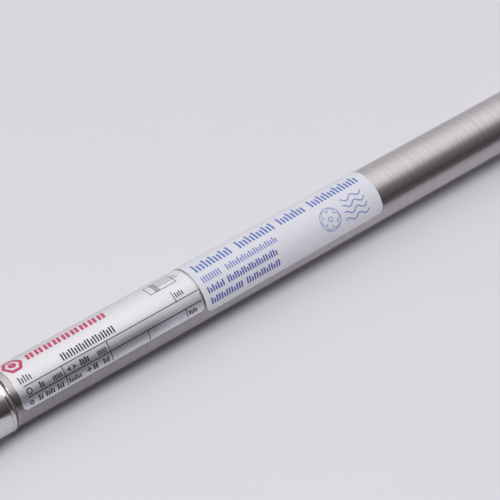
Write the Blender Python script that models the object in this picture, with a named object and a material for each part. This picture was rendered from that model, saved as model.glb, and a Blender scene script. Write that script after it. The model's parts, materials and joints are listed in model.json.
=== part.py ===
"""Round pneumatic cylinder: 16 mm bore, 200 mm stroke, adjustable air cushions.

A thin steel tube is held between two turned end covers.  The front cover carries the
rod bearing and the threaded nose, the rear cover ends in a threaded boss that is
milled to a tongue with an eye.  A two-piece piston with a magnet ring, two lip seals
and a guide ring slides in the tube.  A sleeve on each side of it plunges into a pocket
in the cover, and the air trapped there leaves past a small needle screw.

The cylinder's axis runs along +X, the rod end is at +X and +Z is up.  Every size below
is in millimetres.  Stations along the axis count from the rear mounting shoulder.
"""

import math

import bmesh
import bpy
from mathutils import Matrix, Vector

MM = 0.001

# Driving sizes of the cylinder
BORE = 16.0
STROKE = 200.0
TUBE_WALL = 0.65
ROD_DIAMETER = 6.0
PISTON_LENGTH = 19.4

# Clearances between pieces
RUNNING_GAP = 0.08
SEAT_GAP = 0.05
END_GAP = 0.3
SKIN_GAP = 0.06

# End covers, from the shoulder towards the middle of the tube
BODY_DIAMETER = 20.0
BODY_LENGTH = 10.0
SKIRT_WALL = 0.38
SKIRT_LENGTH = 7.0
LIP_WIDTH = 1.2
LIP_RISE = 0.1
LIP_CATCH = 0.15
LIP_GROOVE_WIDTH = 0.35
LIP_GROOVE_DEPTH = 0.2
SPIGOT_LENGTH = 5.0
COVER_CHAMFER = 0.4
FACE_WALL = 2.5

# O-ring between spigot and tube
COVER_RING_HEIGHT = 1.1
COVER_RING_WIDTH = 1.4
COVER_RING_STATION = 2.6

# Air cushion: sleeve, pocket, ring seal and needle screw
SLEEVE_DIAMETER = 8.0
SLEEVE_LENGTH = 10.2
POCKET_CLEARANCE = 0.3
CUSHION_RING_HEIGHT = 0.9
CUSHION_RING_WIDTH = 2.0
POCKET_LIP = 0.5
SCREW_STATION = 4.7
SCREW_DIAMETER = 3.3
SCREW_HEAD_DEPTH = 1.1
SCREW_LENGTH = 2.4
SCREW_SLOT_WIDTH = 0.6
SCREW_SLOT_DEPTH = 0.7
NEEDLE_LENGTH = 1.3
NEEDLE_ROOT_DIAMETER = 2.0
NEEDLE_TIP_DIAMETER = 0.7
SEAT_HOLE_DIAMETER = 1.6
SEAT_DEPTH = 4.3
SCREW_RING_HEIGHT = 0.5
SCREW_RING_WIDTH = 0.6
CHANNEL_DIAMETER = 1.0
CHANNEL_RADIUS = 5.9

# Air ports
PORT_STATION = 5.0
PORT_DIAMETER = 4.2
PORT_THREAD_DIAMETER = 5.0
PORT_FACE_DIAMETER = 7.6
PORT_FACE_HEIGHT = 9.2

# Threaded nose, its nut and the rear boss with the eye
NOSE_THREAD_DIAMETER = 16.0
NOSE_LENGTH = 17.0
RELIEF_WIDTH = 2.0
RELIEF_DEPTH = 1.0
NOSE_CHAMFER = 1.0
SHOULDER_CLEARANCE = 0.3
SHOULDER_RECESS = 0.2
NOSE_NUT_ACROSS_FLATS = 24.0
NOSE_NUT_THICKNESS = 8.0
NOSE_NUT_SETBACK = 0.8
EYE_DISTANCE = 10.0
EYE_END_RADIUS = 9.0
EYE_DIAMETER = 6.0
TONGUE_WIDTH = 12.0
TONGUE_SETBACK = 3.0
EYE_CHAMFER = 0.4

# Rod bearing bush and rod seal in the nose
BUSH_WALL = 0.9
BUSH_LENGTH = 13.0
ROD_SEAL_OUTER_DIAMETER = 10.0
ROD_SEAL_LENGTH = 4.4
SEAL_KEEPER_WIDTH = 0.8
SEAL_KEEPER_RISE = 0.45
WIPER_LIP_REACH = 1.2

# Rod end
ROD_OUT = 22.0
ROD_THREAD_DIAMETER = 6.0
ROD_THREAD_LENGTH = 16.0
ROD_RELIEF_WIDTH = 1.2
ROD_RELIEF_DEPTH = 0.6
ROD_FLATS_ACROSS = 5.0
ROD_FLATS_LENGTH = 3.5
ROD_FLATS_SETBACK = 0.6
ROD_CHAMFER = 0.5
ROD_NUT_ACROSS_FLATS = 10.0
ROD_NUT_THICKNESS = 3.2
ROD_NUT_SETBACK = 4.0
THREAD_GAP = 0.08

# Piston
PISTON_GAP = 0.15
STUB_DIAMETER = 5.0
HALF_SPLIT = 0.2
PISTON_CHAMFER = 0.45
PISTON_RING_START = 1.6
PISTON_RING_WIDTH = 2.6
PISTON_RING_HEIGHT = 1.85
GUIDE_WIDTH = 4.7
GUIDE_THICKNESS = 0.95
MAGNET_LENGTH = 5.8
MAGNET_OUTER_WALL = 0.5
MAGNET_INNER_WALL = 2.1
STUB_RING_HEIGHT = 1.0
STUB_RING_WIDTH = 1.3
STUB_RING_SETBACK = 3.6

# Data label, and the sticker next to it, which was put on a little askew
LABEL_START = 19.25
LABEL_LENGTH = 63.05
LABEL_LOW_ANGLE = 9.4
LABEL_HEIGHT = 24.0
LABEL_THICKNESS = 0.10
LABEL_CORNER = 1.4
STICKER_SPACING = 0.7
STICKER_LENGTH = 68.3
STICKER_LOW_ANGLE = -2.0
STICKER_SKEW = 5.0
STICKER_HEIGHT = 25.0
STICKER_THICKNESS = 0.12
STICKER_CORNER = 2.2

# Small edge breaks, and how far a cutter reaches past what it cuts
EDGE_BREAK = 0.2
CUT_MARGIN = 1.0

# Faces round a turned piece
WIDE_STEPS = 30
NARROW_STEPS = 20
FINE_STEPS = 12
SHEET_ROWS = 14
SHEET_COLUMNS = 5

# Sizes that follow from the ones above
BORE_RADIUS = BORE / 2
TUBE_RADIUS = BORE_RADIUS + TUBE_WALL
BODY_RADIUS = BODY_DIAMETER / 2
SPIGOT_END = BODY_LENGTH + SPIGOT_LENGTH
SKIRT_END = BODY_LENGTH + SKIRT_LENGTH
SPIGOT_RADIUS = BORE_RADIUS - SEAT_GAP
SKIRT_INNER = TUBE_RADIUS + SEAT_GAP
SKIRT_OUTER = SKIRT_INNER + SKIRT_WALL
SLEEVE_RADIUS = SLEEVE_DIAMETER / 2
POCKET_RADIUS = SLEEVE_RADIUS + POCKET_CLEARANCE
ROD_RADIUS = ROD_DIAMETER / 2
STUB_RADIUS = STUB_DIAMETER / 2
NOSE_RADIUS = NOSE_THREAD_DIAMETER / 2
COVER_SPAN = 2 * SPIGOT_END + STROKE + PISTON_LENGTH + 2 * END_GAP
PISTON_STATION = SPIGOT_END + END_GAP
BUSH_OUTER = ROD_RADIUS + RUNNING_GAP + BUSH_WALL
RING_SKIN = BORE_RADIUS - RUNNING_GAP
GUIDE_FLOOR = RING_SKIN - GUIDE_THICKNESS - SEAT_GAP
MAGNET_POCKET_OUTER = GUIDE_FLOOR - MAGNET_OUTER_WALL
MAGNET_POCKET_INNER = STUB_RADIUS + SEAT_GAP + MAGNET_INNER_WALL
STICKER_START = LABEL_START + LABEL_LENGTH + STICKER_SPACING
REAR_END = -(EYE_DISTANCE + EYE_END_RADIUS)
ROD_SHOULDER = COVER_SPAN + ROD_OUT
FRONT_END = ROD_SHOULDER + ROD_THREAD_LENGTH
AXIS_HEIGHT = NOSE_NUT_ACROSS_FLATS / 2
DATUM_X = -(FRONT_END + REAR_END) / 2

STEEL = ("stainless_steel", (0.58, 0.56, 0.55), 0.30, 1.0)
ALUMINIUM = ("turned_aluminium", (0.78, 0.77, 0.76), 0.32, 1.0)
ZINC = ("zinc_plated_steel", (0.62, 0.63, 0.64), 0.35, 1.0)
RUBBER = ("black_rubber", (0.02, 0.02, 0.022), 0.65, 0.0)
POLYMER = ("bearing_polymer", (0.35, 0.30, 0.22), 0.55, 0.0)
MAGNET = ("magnet", (0.10, 0.10, 0.11), 0.50, 0.4)
FOIL = ("silver_foil", (0.70, 0.69, 0.70), 0.28, 0.9)
PAPER = ("white_vinyl", (0.88, 0.88, 0.90), 0.45, 0.0)


def clear_scene():
    """Take every object out of the scene."""
    for item in list(bpy.data.objects):
        bpy.data.objects.remove(item, do_unlink=True)


def material(kind):
    """Return the Principled material that a (name, colour, roughness, metallic) names."""
    name, colour, roughness, metallic = kind
    found = bpy.data.materials.get(name)
    if found:
        return found
    made = bpy.data.materials.new(name)
    made.use_nodes = True
    shader = made.node_tree.nodes["Principled BSDF"]
    shader.inputs["Base Color"].default_value = (*colour, 1.0)
    shader.inputs["Roughness"].default_value = roughness
    shader.inputs["Metallic"].default_value = metallic
    made.diffuse_color = (*colour, 1.0)
    return made


def guide(name, station=0.0, parent=None):
    """Add an empty on the cylinder's axis, a station along it from its parent."""
    empty = bpy.data.objects.new(name, None)
    empty.empty_display_size = BORE_RADIUS * MM
    bpy.context.collection.objects.link(empty)
    empty.parent = parent
    empty.location = (station * MM, 0, 0)
    return empty


def finish_mesh(mesh, name, kind, parent, station=0.0):
    """Turn a bmesh into a smooth-shaded object, placed a station along its parent."""
    bmesh.ops.recalc_face_normals(mesh, faces=mesh.faces)
    data = bpy.data.meshes.new(name)
    mesh.to_mesh(data)
    mesh.free()
    data.shade_smooth()
    data.set_sharp_from_angle(angle=math.radians(35))
    item = bpy.data.objects.new(name, data)
    bpy.context.collection.objects.link(item)
    item.parent = parent
    item.location = (station * MM, 0, 0)
    if kind:
        data.materials.append(material(kind))
    return item


def spun(outline, steps):
    """Spin an outline of (station, radius) points once round the X axis.

    An outline that starts and ends on the axis makes a solid body.  Any other one is
    closed from its last point to its first and makes a ring.
    """
    mesh = bmesh.new()
    points = [mesh.verts.new((x * MM, 0, r * MM)) for x, r in outline]
    pairs = list(zip(points, points[1:]))
    on_axis = outline[0][1] == 0 and outline[-1][1] == 0
    if not on_axis:
        pairs.append((points[-1], points[0]))
    edges = [mesh.edges.new(pair) for pair in pairs]
    bmesh.ops.spin(mesh, geom=points + edges, cent=(0, 0, 0), axis=(1, 0, 0),
                   angle=math.tau, steps=steps, use_merge=True)
    bmesh.ops.remove_doubles(mesh, verts=mesh.verts, dist=1e-7)
    return mesh


def turned(name, outline, steps, kind, parent, station=0.0):
    """Make a lathe-turned piece from its outline."""
    return finish_mesh(spun(outline, steps), name, kind, parent, station)


def arc(station, radius, reach, start, end, steps):
    """Points of an arc in the outline's plane, angles in degrees from +X to +radius."""
    angles = [math.radians(start + (end - start) * i / steps) for i in range(steps + 1)]
    return [(station + reach * math.cos(a), radius + reach * math.sin(a)) for a in angles]


def mirrored(outline, length):
    """The outline turned end for end within a length."""
    return [(length - x, r) for x, r in reversed(outline)]


def ring_section(width, inner, height, steps=8):
    """Oval section of a squeezed ring, centred on station zero."""
    middle = inner + height / 2
    angles = [math.tau * i / steps for i in range(steps)]
    return [(width / 2 * math.cos(a), middle + height / 2 * math.sin(a)) for a in angles]


def as_cutter(item):
    """Show a piece as a wire guide that is left out of the render."""
    item.display_type = 'WIRE'
    item.hide_render = True
    return item


def apply_cut(target, cutter, operation='DIFFERENCE'):
    """Cut the target with the cutter, or keep what both share."""
    cut = target.modifiers.new(cutter.name, 'BOOLEAN')
    cut.operation = operation
    cut.solver = 'EXACT'
    cut.object = cutter


def box_mesh(mesh, size, centre):
    """Add a box to a bmesh, both given in millimetres."""
    place = Matrix.Translation(Vector(centre) * MM) @ Matrix.Diagonal((*(Vector(size) * MM), 1))
    bmesh.ops.create_cube(mesh, size=1.0, matrix=place)


def box_cutter(name, boxes, parent, station=0.0):
    """Make one cutter out of separate boxes, each a (size, centre) pair."""
    mesh = bmesh.new()
    for size, centre in boxes:
        box_mesh(mesh, size, centre)
    return as_cutter(finish_mesh(mesh, name, None, parent, station))


def radial_cutter(name, outline, steps, parent, station, heading):
    """Make a turned cutter whose own axis points away from the cylinder's axis."""
    cutter = as_cutter(turned(name, outline, steps, None, parent, station))
    cutter.rotation_euler = heading
    return cutter


UPWARD = (0, -math.pi / 2, 0)
SIDEWAYS = (0, 0, -math.pi / 2)


def cover_outline():
    """Outline shared by both covers, from the pocket's floor out to the shoulder.

    Stations count from the shoulder into the tube.
    """
    ring_groove = SLEEVE_RADIUS + RUNNING_GAP + CUSHION_RING_HEIGHT + SEAT_GAP
    ring_start = SPIGOT_END - POCKET_LIP - CUSHION_RING_WIDTH - 2 * SEAT_GAP
    pocket = [
        (FACE_WALL, POCKET_RADIUS),
        (ring_start, POCKET_RADIUS),
        (ring_start, ring_groove),
        (SPIGOT_END - POCKET_LIP, ring_groove),
        (SPIGOT_END - POCKET_LIP, POCKET_RADIUS),
        (SPIGOT_END, POCKET_RADIUS + POCKET_LIP / 2),
    ]
    seal_floor = BORE_RADIUS - COVER_RING_HEIGHT - 2 * SEAT_GAP
    seal_half = COVER_RING_WIDTH / 2 + 2 * SEAT_GAP
    seal_middle = BODY_LENGTH + COVER_RING_STATION
    spigot = [
        (SPIGOT_END, SPIGOT_RADIUS - COVER_CHAMFER),
        (SPIGOT_END - COVER_CHAMFER, SPIGOT_RADIUS),
        (seal_middle + seal_half, SPIGOT_RADIUS),
        (seal_middle + seal_half, seal_floor),
        (seal_middle - seal_half, seal_floor),
        (seal_middle - seal_half, SPIGOT_RADIUS),
        (BODY_LENGTH, SPIGOT_RADIUS),
        (BODY_LENGTH, SKIRT_INNER),
    ]
    return pocket + spigot + skirt_outline() + body_outline()


def skirt_outline():
    """Skirt round the tube's end, whose rolled lip catches in the tube's groove."""
    lip_start = SKIRT_END - LIP_WIDTH
    lip_outer = SKIRT_OUTER + LIP_RISE
    catch = SKIRT_INNER - LIP_CATCH
    round_radius = (lip_outer - catch) / 2
    middle = (lip_outer + catch) / 2
    groove_floor = SKIRT_OUTER - LIP_GROOVE_DEPTH
    return [
        (lip_start, SKIRT_INNER),
        (lip_start + LIP_CATCH, catch),
        *arc(SKIRT_END - round_radius, middle, round_radius, -90, 90, 4),
        (lip_start + LIP_RISE, lip_outer),
        (lip_start, groove_floor),
        (lip_start - LIP_GROOVE_WIDTH, groove_floor),
        (lip_start - LIP_GROOVE_WIDTH, SKIRT_OUTER),
    ]


def body_outline():
    """Outer side of the cover's solid body, down to the shoulder's undercut."""
    step = BODY_RADIUS - SKIRT_OUTER
    return [
        (BODY_LENGTH + step / 2, SKIRT_OUTER),
        (BODY_LENGTH - COVER_CHAMFER, BODY_RADIUS - COVER_CHAMFER / 2),
        (BODY_LENGTH - 2 * COVER_CHAMFER, BODY_RADIUS),
        (COVER_CHAMFER, BODY_RADIUS),
        (0, BODY_RADIUS - COVER_CHAMFER),
    ]


def boss_outline(length):
    """Threaded boss that stands out from the shoulder, thread drawn at full diameter.

    The shoulder is recessed next to the boss, so its flat face lies outside the thread.
    """
    floor = NOSE_RADIUS - RELIEF_DEPTH
    seat = NOSE_RADIUS + SHOULDER_CLEARANCE
    return [
        (0, seat),
        (SHOULDER_RECESS, seat),
        (SHOULDER_RECESS, floor),
        (-RELIEF_WIDTH + RELIEF_DEPTH / 2, floor),
        (-RELIEF_WIDTH, NOSE_RADIUS),
        (-length + NOSE_CHAMFER, NOSE_RADIUS),
        (-length, NOSE_RADIUS - NOSE_CHAMFER),
    ]


def cut_passages(cover, end, datum, side):
    """Cut a cover's port, needle bore and air channel.

    The side is +1 where the tube lies towards +X of the shoulder and -1 where it lies
    towards -X.
    """
    shoulder = 0.0 if side > 0 else COVER_SPAN
    outside = BODY_RADIUS + CUT_MARGIN
    port = [
        (0, 0), (0, PORT_DIAMETER / 2), (PORT_FACE_HEIGHT - COVER_CHAMFER, PORT_DIAMETER / 2),
        (PORT_FACE_HEIGHT, PORT_THREAD_DIAMETER / 2), (PORT_FACE_HEIGHT, PORT_FACE_DIAMETER / 2),
        (outside, PORT_FACE_DIAMETER / 2), (outside, 0),
    ]
    station = shoulder + side * PORT_STATION
    apply_cut(cover, radial_cutter(end + "_port_bore", port, NARROW_STEPS, datum, station, UPWARD))

    bore = SCREW_DIAMETER / 2 + 2 * SEAT_GAP
    seat = SEAT_DEPTH + POCKET_CLEARANCE + CHANNEL_DIAMETER
    needle = [
        (0, 0), (0, SEAT_HOLE_DIAMETER / 2), (seat, SEAT_HOLE_DIAMETER / 2), (seat, bore),
        (BODY_RADIUS - COVER_CHAMFER, bore), (outside, bore + 2 * COVER_CHAMFER), (outside, 0),
    ]
    station = shoulder + side * SCREW_STATION
    apply_cut(cover, radial_cutter(end + "_needle_bore", needle, FINE_STEPS, datum, station, SIDEWAYS))

    reach = SPIGOT_END + CUT_MARGIN
    low, high = sorted((side * SCREW_STATION, side * reach))
    channel = [(low, 0), (low, CHANNEL_DIAMETER / 2), (high, CHANNEL_DIAMETER / 2), (high, 0)]
    cutter = as_cutter(turned(end + "_air_channel", channel, FINE_STEPS, None, datum, shoulder))
    cutter.location.y = -CHANNEL_RADIUS * MM
    apply_cut(cover, cutter)


def tongue_keeper(datum):
    """Guide solid whose side view is the tongue's round end with a long straight back."""
    mesh = bmesh.new()
    reach = SKIRT_END + CUT_MARGIN
    half = BODY_RADIUS + CUT_MARGIN
    side_view = [(reach, half), (-EYE_DISTANCE / 2, half)]
    side_view += arc(-EYE_DISTANCE, 0, EYE_END_RADIUS, 90, 270, 24)
    side_view += [(-EYE_DISTANCE / 2, -half), (reach, -half)]
    points = [mesh.verts.new((x * MM, -half * MM, z * MM)) for x, z in side_view]
    face = mesh.faces.new(points)
    grown = bmesh.ops.extrude_face_region(mesh, geom=[face])
    moved = [v for v in grown["geom"] if isinstance(v, bmesh.types.BMVert)]
    bmesh.ops.translate(mesh, verts=moved, vec=(0, 2 * half * MM, 0))
    return as_cutter(finish_mesh(mesh, "tongue_outline", None, datum))


def make_rear_cover(datum):
    """Rear cover: closed face, threaded boss and the tongue with its eye."""
    outline = [(FACE_WALL, 0), *cover_outline(), *boss_outline(-REAR_END), (REAR_END, 0)]
    cover = turned("rear_cover", outline, WIDE_STEPS, ALUMINIUM, datum)
    cut_passages(cover, "rear", datum, 1)
    apply_cut(cover, tongue_keeper(datum), 'INTERSECT')

    depth = NOSE_RADIUS
    length = -REAR_END - TONGUE_SETBACK + CUT_MARGIN
    middle = -TONGUE_SETBACK - length / 2
    offset = TONGUE_WIDTH / 2 + depth / 2
    sides = [((length, depth, 3 * depth), (middle, way * offset, 0)) for way in (-1, 1)]
    apply_cut(cover, box_cutter("tongue_flats", sides, datum))

    half = TONGUE_WIDTH / 2
    eye_radius = EYE_DIAMETER / 2
    wide = eye_radius + 2 * EYE_CHAMFER
    eye = [
        (-half - EYE_CHAMFER, 0), (-half - EYE_CHAMFER, wide), (-half + EYE_CHAMFER, eye_radius),
        (half - EYE_CHAMFER, eye_radius), (half + EYE_CHAMFER, wide), (half + EYE_CHAMFER, 0),
    ]
    apply_cut(cover, radial_cutter("eye_bore", eye, NARROW_STEPS, datum, -EYE_DISTANCE, SIDEWAYS))
    return cover


def make_front_cover(datum):
    """Front cover: rod bore, seal seat and threaded nose."""
    bush_bore = BUSH_OUTER + SEAT_GAP
    seal_bore = ROD_SEAL_OUTER_DIAMETER / 2 + SEAT_GAP
    keeper_start = NOSE_LENGTH - SEAL_KEEPER_WIDTH
    seal_start = keeper_start - ROD_SEAL_LENGTH - 2 * SEAT_GAP
    inside = [
        (-NOSE_LENGTH, seal_bore - SEAL_KEEPER_RISE + EDGE_BREAK),
        (-NOSE_LENGTH + EDGE_BREAK, seal_bore - SEAL_KEEPER_RISE),
        (-keeper_start, seal_bore - SEAL_KEEPER_RISE),
        (-keeper_start, seal_bore),
        (-seal_start, seal_bore),
        (-seal_start, bush_bore),
        (FACE_WALL, bush_bore),
    ]
    outline = [*cover_outline(), *boss_outline(NOSE_LENGTH), *inside]
    outline = mirrored(outline, COVER_SPAN)
    cover = turned("front_cover", outline, WIDE_STEPS, ALUMINIUM, datum)
    cut_passages(cover, "front", datum, -1)
    return cover


def make_tube(datum):
    """Barrel tube with the two shallow grooves that the cover lips catch in."""
    start = BODY_LENGTH + END_GAP
    groove_start = SKIRT_END - LIP_WIDTH
    groove_end = SKIRT_END + END_GAP
    groove_floor = TUBE_RADIUS - LIP_CATCH
    chamfer = TUBE_WALL / 3
    half = [
        (start, BORE_RADIUS + chamfer),
        (start, TUBE_RADIUS - chamfer),
        (start + chamfer, TUBE_RADIUS),
        (groove_start, TUBE_RADIUS),
        (groove_start + LIP_CATCH, groove_floor),
        (groove_end - LIP_CATCH, groove_floor),
        (groove_end, TUBE_RADIUS),
    ]
    inner = [(start + 2 * chamfer, BORE_RADIUS)]
    outline = half + mirrored(half, COVER_SPAN) + mirrored(inner, COVER_SPAN) + inner
    return turned("barrel_tube", outline, WIDE_STEPS, STEEL, datum)


def make_cover_rings(datum):
    """O-rings in the spigot grooves, one at each end of the tube."""
    inner = BORE_RADIUS - SEAT_GAP - COVER_RING_HEIGHT
    section = ring_section(COVER_RING_WIDTH, inner, COVER_RING_HEIGHT)
    station = BODY_LENGTH + COVER_RING_STATION
    turned("rear_cover_o_ring", section, WIDE_STEPS, RUBBER, datum, station)
    turned("front_cover_o_ring", section, WIDE_STEPS, RUBBER, datum, COVER_SPAN - station)


def make_cushion_seals(datum):
    """Lip rings that close on the cushion sleeves at the mouth of each pocket."""
    inner = SLEEVE_RADIUS + RUNNING_GAP
    outer = inner + CUSHION_RING_HEIGHT
    behind = inner + CUSHION_RING_HEIGHT / 3
    width = CUSHION_RING_WIDTH
    section = [
        (0, inner), (0.3 * width, behind), (width, behind), (width, outer), (0, outer),
    ]
    start = SPIGOT_END - POCKET_LIP - SEAT_GAP - width
    front = COVER_SPAN - start
    turned("rear_cushion_seal", mirrored(section, width), NARROW_STEPS, RUBBER, datum, start)
    turned("front_cushion_seal", section, NARROW_STEPS, RUBBER, datum, front - width)


def make_rod_guide(datum):
    """Bearing bush and rod seal with its wiper lip, both inside the nose."""
    inner = ROD_RADIUS + RUNNING_GAP
    nose_end = COVER_SPAN + NOSE_LENGTH
    seal_end = nose_end - SEAL_KEEPER_WIDTH - SEAT_GAP
    seal_start = seal_end - ROD_SEAL_LENGTH
    bush_end = seal_start - END_GAP
    bush = [
        (0, inner + EDGE_BREAK), (0, BUSH_OUTER - EDGE_BREAK), (EDGE_BREAK, BUSH_OUTER),
        (BUSH_LENGTH - EDGE_BREAK, BUSH_OUTER), (BUSH_LENGTH, BUSH_OUTER - EDGE_BREAK),
        (BUSH_LENGTH, inner + EDGE_BREAK), (BUSH_LENGTH - EDGE_BREAK, inner),
        (EDGE_BREAK, inner),
    ]
    turned("rod_bearing_bush", bush, NARROW_STEPS, POLYMER, datum, bush_end - BUSH_LENGTH)

    outer = ROD_SEAL_OUTER_DIAMETER / 2
    wall = outer - inner
    relief = inner + 0.18 * wall
    length = ROD_SEAL_LENGTH
    lip_end = length + WIPER_LIP_REACH
    keeper = outer - SEAL_KEEPER_RISE - SEAT_GAP
    seal = [
        (0, inner), (0, inner + 0.26 * wall), (0.35 * length, inner + 0.47 * wall),
        (0.35 * length, outer - 0.26 * wall), (0, outer - 0.16 * wall), (0, outer),
        (length, outer), (length, keeper), (lip_end, inner + 0.16 * wall), (lip_end, inner),
        (0.75 * length, relief), (0.45 * length, relief),
    ]
    turned("rod_wiper_seal", seal, NARROW_STEPS, RUBBER, datum, seal_start)


def make_needle_screw(end, datum, shoulder, side):
    """Needle screw that throttles a cushion, with the O-ring that seals its head."""
    axis = guide(end + "_needle_axis", shoulder + side * SCREW_STATION, datum)
    axis.rotation_euler = SIDEWAYS
    radius = SCREW_DIAMETER / 2
    head = BODY_RADIUS - SCREW_HEAD_DEPTH
    foot = head - SCREW_LENGTH
    groove_floor = radius - SCREW_RING_HEIGHT
    groove_start = head - SCREW_SLOT_DEPTH - 2 * EDGE_BREAK - SCREW_RING_WIDTH
    groove_end = groove_start + SCREW_RING_WIDTH
    outline = [
        (foot - NEEDLE_LENGTH, 0), (foot - NEEDLE_LENGTH, NEEDLE_TIP_DIAMETER / 2),
        (foot, NEEDLE_ROOT_DIAMETER / 2), (foot, radius - EDGE_BREAK), (foot + EDGE_BREAK, radius),
        (groove_start, radius), (groove_start, groove_floor),
        (groove_end, groove_floor), (groove_end, radius),
        (head - EDGE_BREAK, radius), (head, radius - EDGE_BREAK), (head, 0),
    ]
    screw = turned(end + "_cushion_screw", outline, FINE_STEPS, ZINC, axis)
    slot = ((2 * SCREW_SLOT_DEPTH, SCREW_SLOT_WIDTH, 2 * SCREW_DIAMETER), (head, 0, 0))
    apply_cut(screw, box_cutter(end + "_screw_slot", [slot], axis))

    inner = groove_floor + SEAT_GAP
    height = SCREW_RING_HEIGHT
    section = ring_section(SCREW_RING_WIDTH - 2 * SEAT_GAP, inner, height, 6)
    middle = (groove_start + groove_end) / 2
    turned(end + "_cushion_screw_o_ring", section, FINE_STEPS, RUBBER, axis, middle)


def make_piston(travel):
    """Two piston halves round the magnet ring, with the guide ring over their joint."""
    outer = BORE_RADIUS - PISTON_GAP
    inner = STUB_RADIUS + SEAT_GAP
    length = (PISTON_LENGTH - HALF_SPLIT) / 2
    middle = PISTON_LENGTH / 2
    seal_floor = RING_SKIN - PISTON_RING_HEIGHT - SEAT_GAP
    seal_end = PISTON_RING_START + PISTON_RING_WIDTH + 2 * SEAT_GAP
    guide_start = middle - GUIDE_WIDTH / 2 - SEAT_GAP
    magnet_start = middle - MAGNET_LENGTH / 2 - SEAT_GAP
    half = [
        (0, inner), (0, outer - PISTON_CHAMFER), (PISTON_CHAMFER, outer),
        (PISTON_RING_START, outer), (PISTON_RING_START, seal_floor),
        (seal_end, seal_floor), (seal_end, outer),
        (guide_start, outer), (guide_start, GUIDE_FLOOR), (length, GUIDE_FLOOR),
        (length, MAGNET_POCKET_OUTER), (magnet_start, MAGNET_POCKET_OUTER),
        (magnet_start, MAGNET_POCKET_INNER), (length, MAGNET_POCKET_INNER), (length, inner),
    ]
    turned("piston_rear_half", half, WIDE_STEPS, ALUMINIUM, travel)

    ring_middle = PISTON_LENGTH - STUB_RING_SETBACK
    ring_half = STUB_RING_WIDTH / 2 + SEAT_GAP
    ring_floor = inner + STUB_RING_HEIGHT + SEAT_GAP
    groove = [
        (ring_middle + ring_half, inner), (ring_middle + ring_half, ring_floor),
        (ring_middle - ring_half, ring_floor), (ring_middle - ring_half, inner),
    ]
    front = mirrored(half, PISTON_LENGTH) + groove
    turned("piston_front_half", front, WIDE_STEPS, ALUMINIUM, travel)
    section = ring_section(STUB_RING_WIDTH, inner, STUB_RING_HEIGHT, 6)
    turned("rod_stub_o_ring", section, NARROW_STEPS, RUBBER, travel, ring_middle)


def make_piston_rings(travel):
    """Magnet ring, guide ring and the two lip seals, which open away from each other."""
    middle = PISTON_LENGTH / 2
    half = MAGNET_LENGTH / 2
    low = MAGNET_POCKET_INNER + SEAT_GAP
    high = MAGNET_POCKET_OUTER - SEAT_GAP
    magnet = [(-half, low), (-half, high), (half, high), (half, low)]
    turned("magnet_ring", magnet, WIDE_STEPS, MAGNET, travel, middle)

    half = GUIDE_WIDTH / 2
    low = RING_SKIN - GUIDE_THICKNESS
    band = [
        (-half, low), (-half, RING_SKIN - EDGE_BREAK), (-half + EDGE_BREAK, RING_SKIN),
        (half - EDGE_BREAK, RING_SKIN), (half, RING_SKIN - EDGE_BREAK), (half, low),
    ]
    turned("piston_guide_ring", band, WIDE_STEPS, POLYMER, travel, middle)

    height = PISTON_RING_HEIGHT
    floor = RING_SKIN - height
    width = PISTON_RING_WIDTH
    seal = [
        (0, floor), (0, floor + 0.24 * height), (0.5 * width, floor + 0.38 * height),
        (0.5 * width, floor + 0.62 * height), (0, floor + 0.78 * height),
        (0.15 * width, RING_SKIN), (0.5 * width, floor + 0.95 * height),
        (width, floor + 0.84 * height), (width, floor),
    ]
    start = PISTON_RING_START + SEAT_GAP
    turned("piston_seal_rear", seal, WIDE_STEPS, RUBBER, travel, start)
    facing = mirrored(seal, PISTON_LENGTH - 2 * start)
    turned("piston_seal_front", facing, WIDE_STEPS, RUBBER, travel, start)


def make_sleeves(travel):
    """Cushion sleeves on both faces of the piston, tapered where they enter the seal."""
    outer = SLEEVE_RADIUS
    length = SLEEVE_LENGTH
    taper = 6 * EDGE_BREAK
    for name, inner in (("rear_cushion_sleeve", STUB_RADIUS), ("front_cushion_sleeve", ROD_RADIUS)):
        bore = inner + SEAT_GAP
        sleeve = [
            (SEAT_GAP, bore), (SEAT_GAP, outer), (length - taper, outer),
            (length, outer - 2 * EDGE_BREAK), (length, bore),
        ]
        if inner == STUB_RADIUS:
            sleeve = mirrored(sleeve, 0)
        station = 0 if inner == STUB_RADIUS else PISTON_LENGTH
        turned(name, sleeve, NARROW_STEPS, ALUMINIUM, travel, station)


def make_rod(travel):
    """Piston rod with the piston's stub, the wrench flats and the threaded end."""
    shoulder = PISTON_LENGTH + SEAT_GAP
    thread_start = ROD_SHOULDER - PISTON_STATION
    tip = FRONT_END - PISTON_STATION
    thread = ROD_THREAD_DIAMETER / 2
    relief = thread - ROD_RELIEF_DEPTH
    stub_end = -(SLEEVE_LENGTH - END_GAP)
    outline = [
        (stub_end, 0), (stub_end, STUB_RADIUS - ROD_CHAMFER), (stub_end + ROD_CHAMFER, STUB_RADIUS),
        (shoulder, STUB_RADIUS), (shoulder, ROD_RADIUS),
        (thread_start - ROD_CHAMFER / 2, ROD_RADIUS),
        (thread_start, ROD_RADIUS - ROD_CHAMFER / 2), (thread_start, relief),
        (thread_start + ROD_RELIEF_WIDTH, relief),
        (thread_start + ROD_RELIEF_WIDTH + ROD_RELIEF_DEPTH, thread),
        (tip - ROD_CHAMFER, thread), (tip, thread - ROD_CHAMFER), (tip, 0),
    ]
    rod = turned("piston_rod", outline, NARROW_STEPS, STEEL, travel)
    middle = thread_start - ROD_FLATS_SETBACK - ROD_FLATS_LENGTH / 2
    offset = ROD_FLATS_ACROSS / 2 + ROD_RADIUS / 2
    size = (ROD_FLATS_LENGTH, ROD_RADIUS, 3 * ROD_RADIUS)
    flats = [(size, (middle, way * offset, 0)) for way in (-1, 1)]
    apply_cut(rod, box_cutter("rod_flats", flats, travel))


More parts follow.
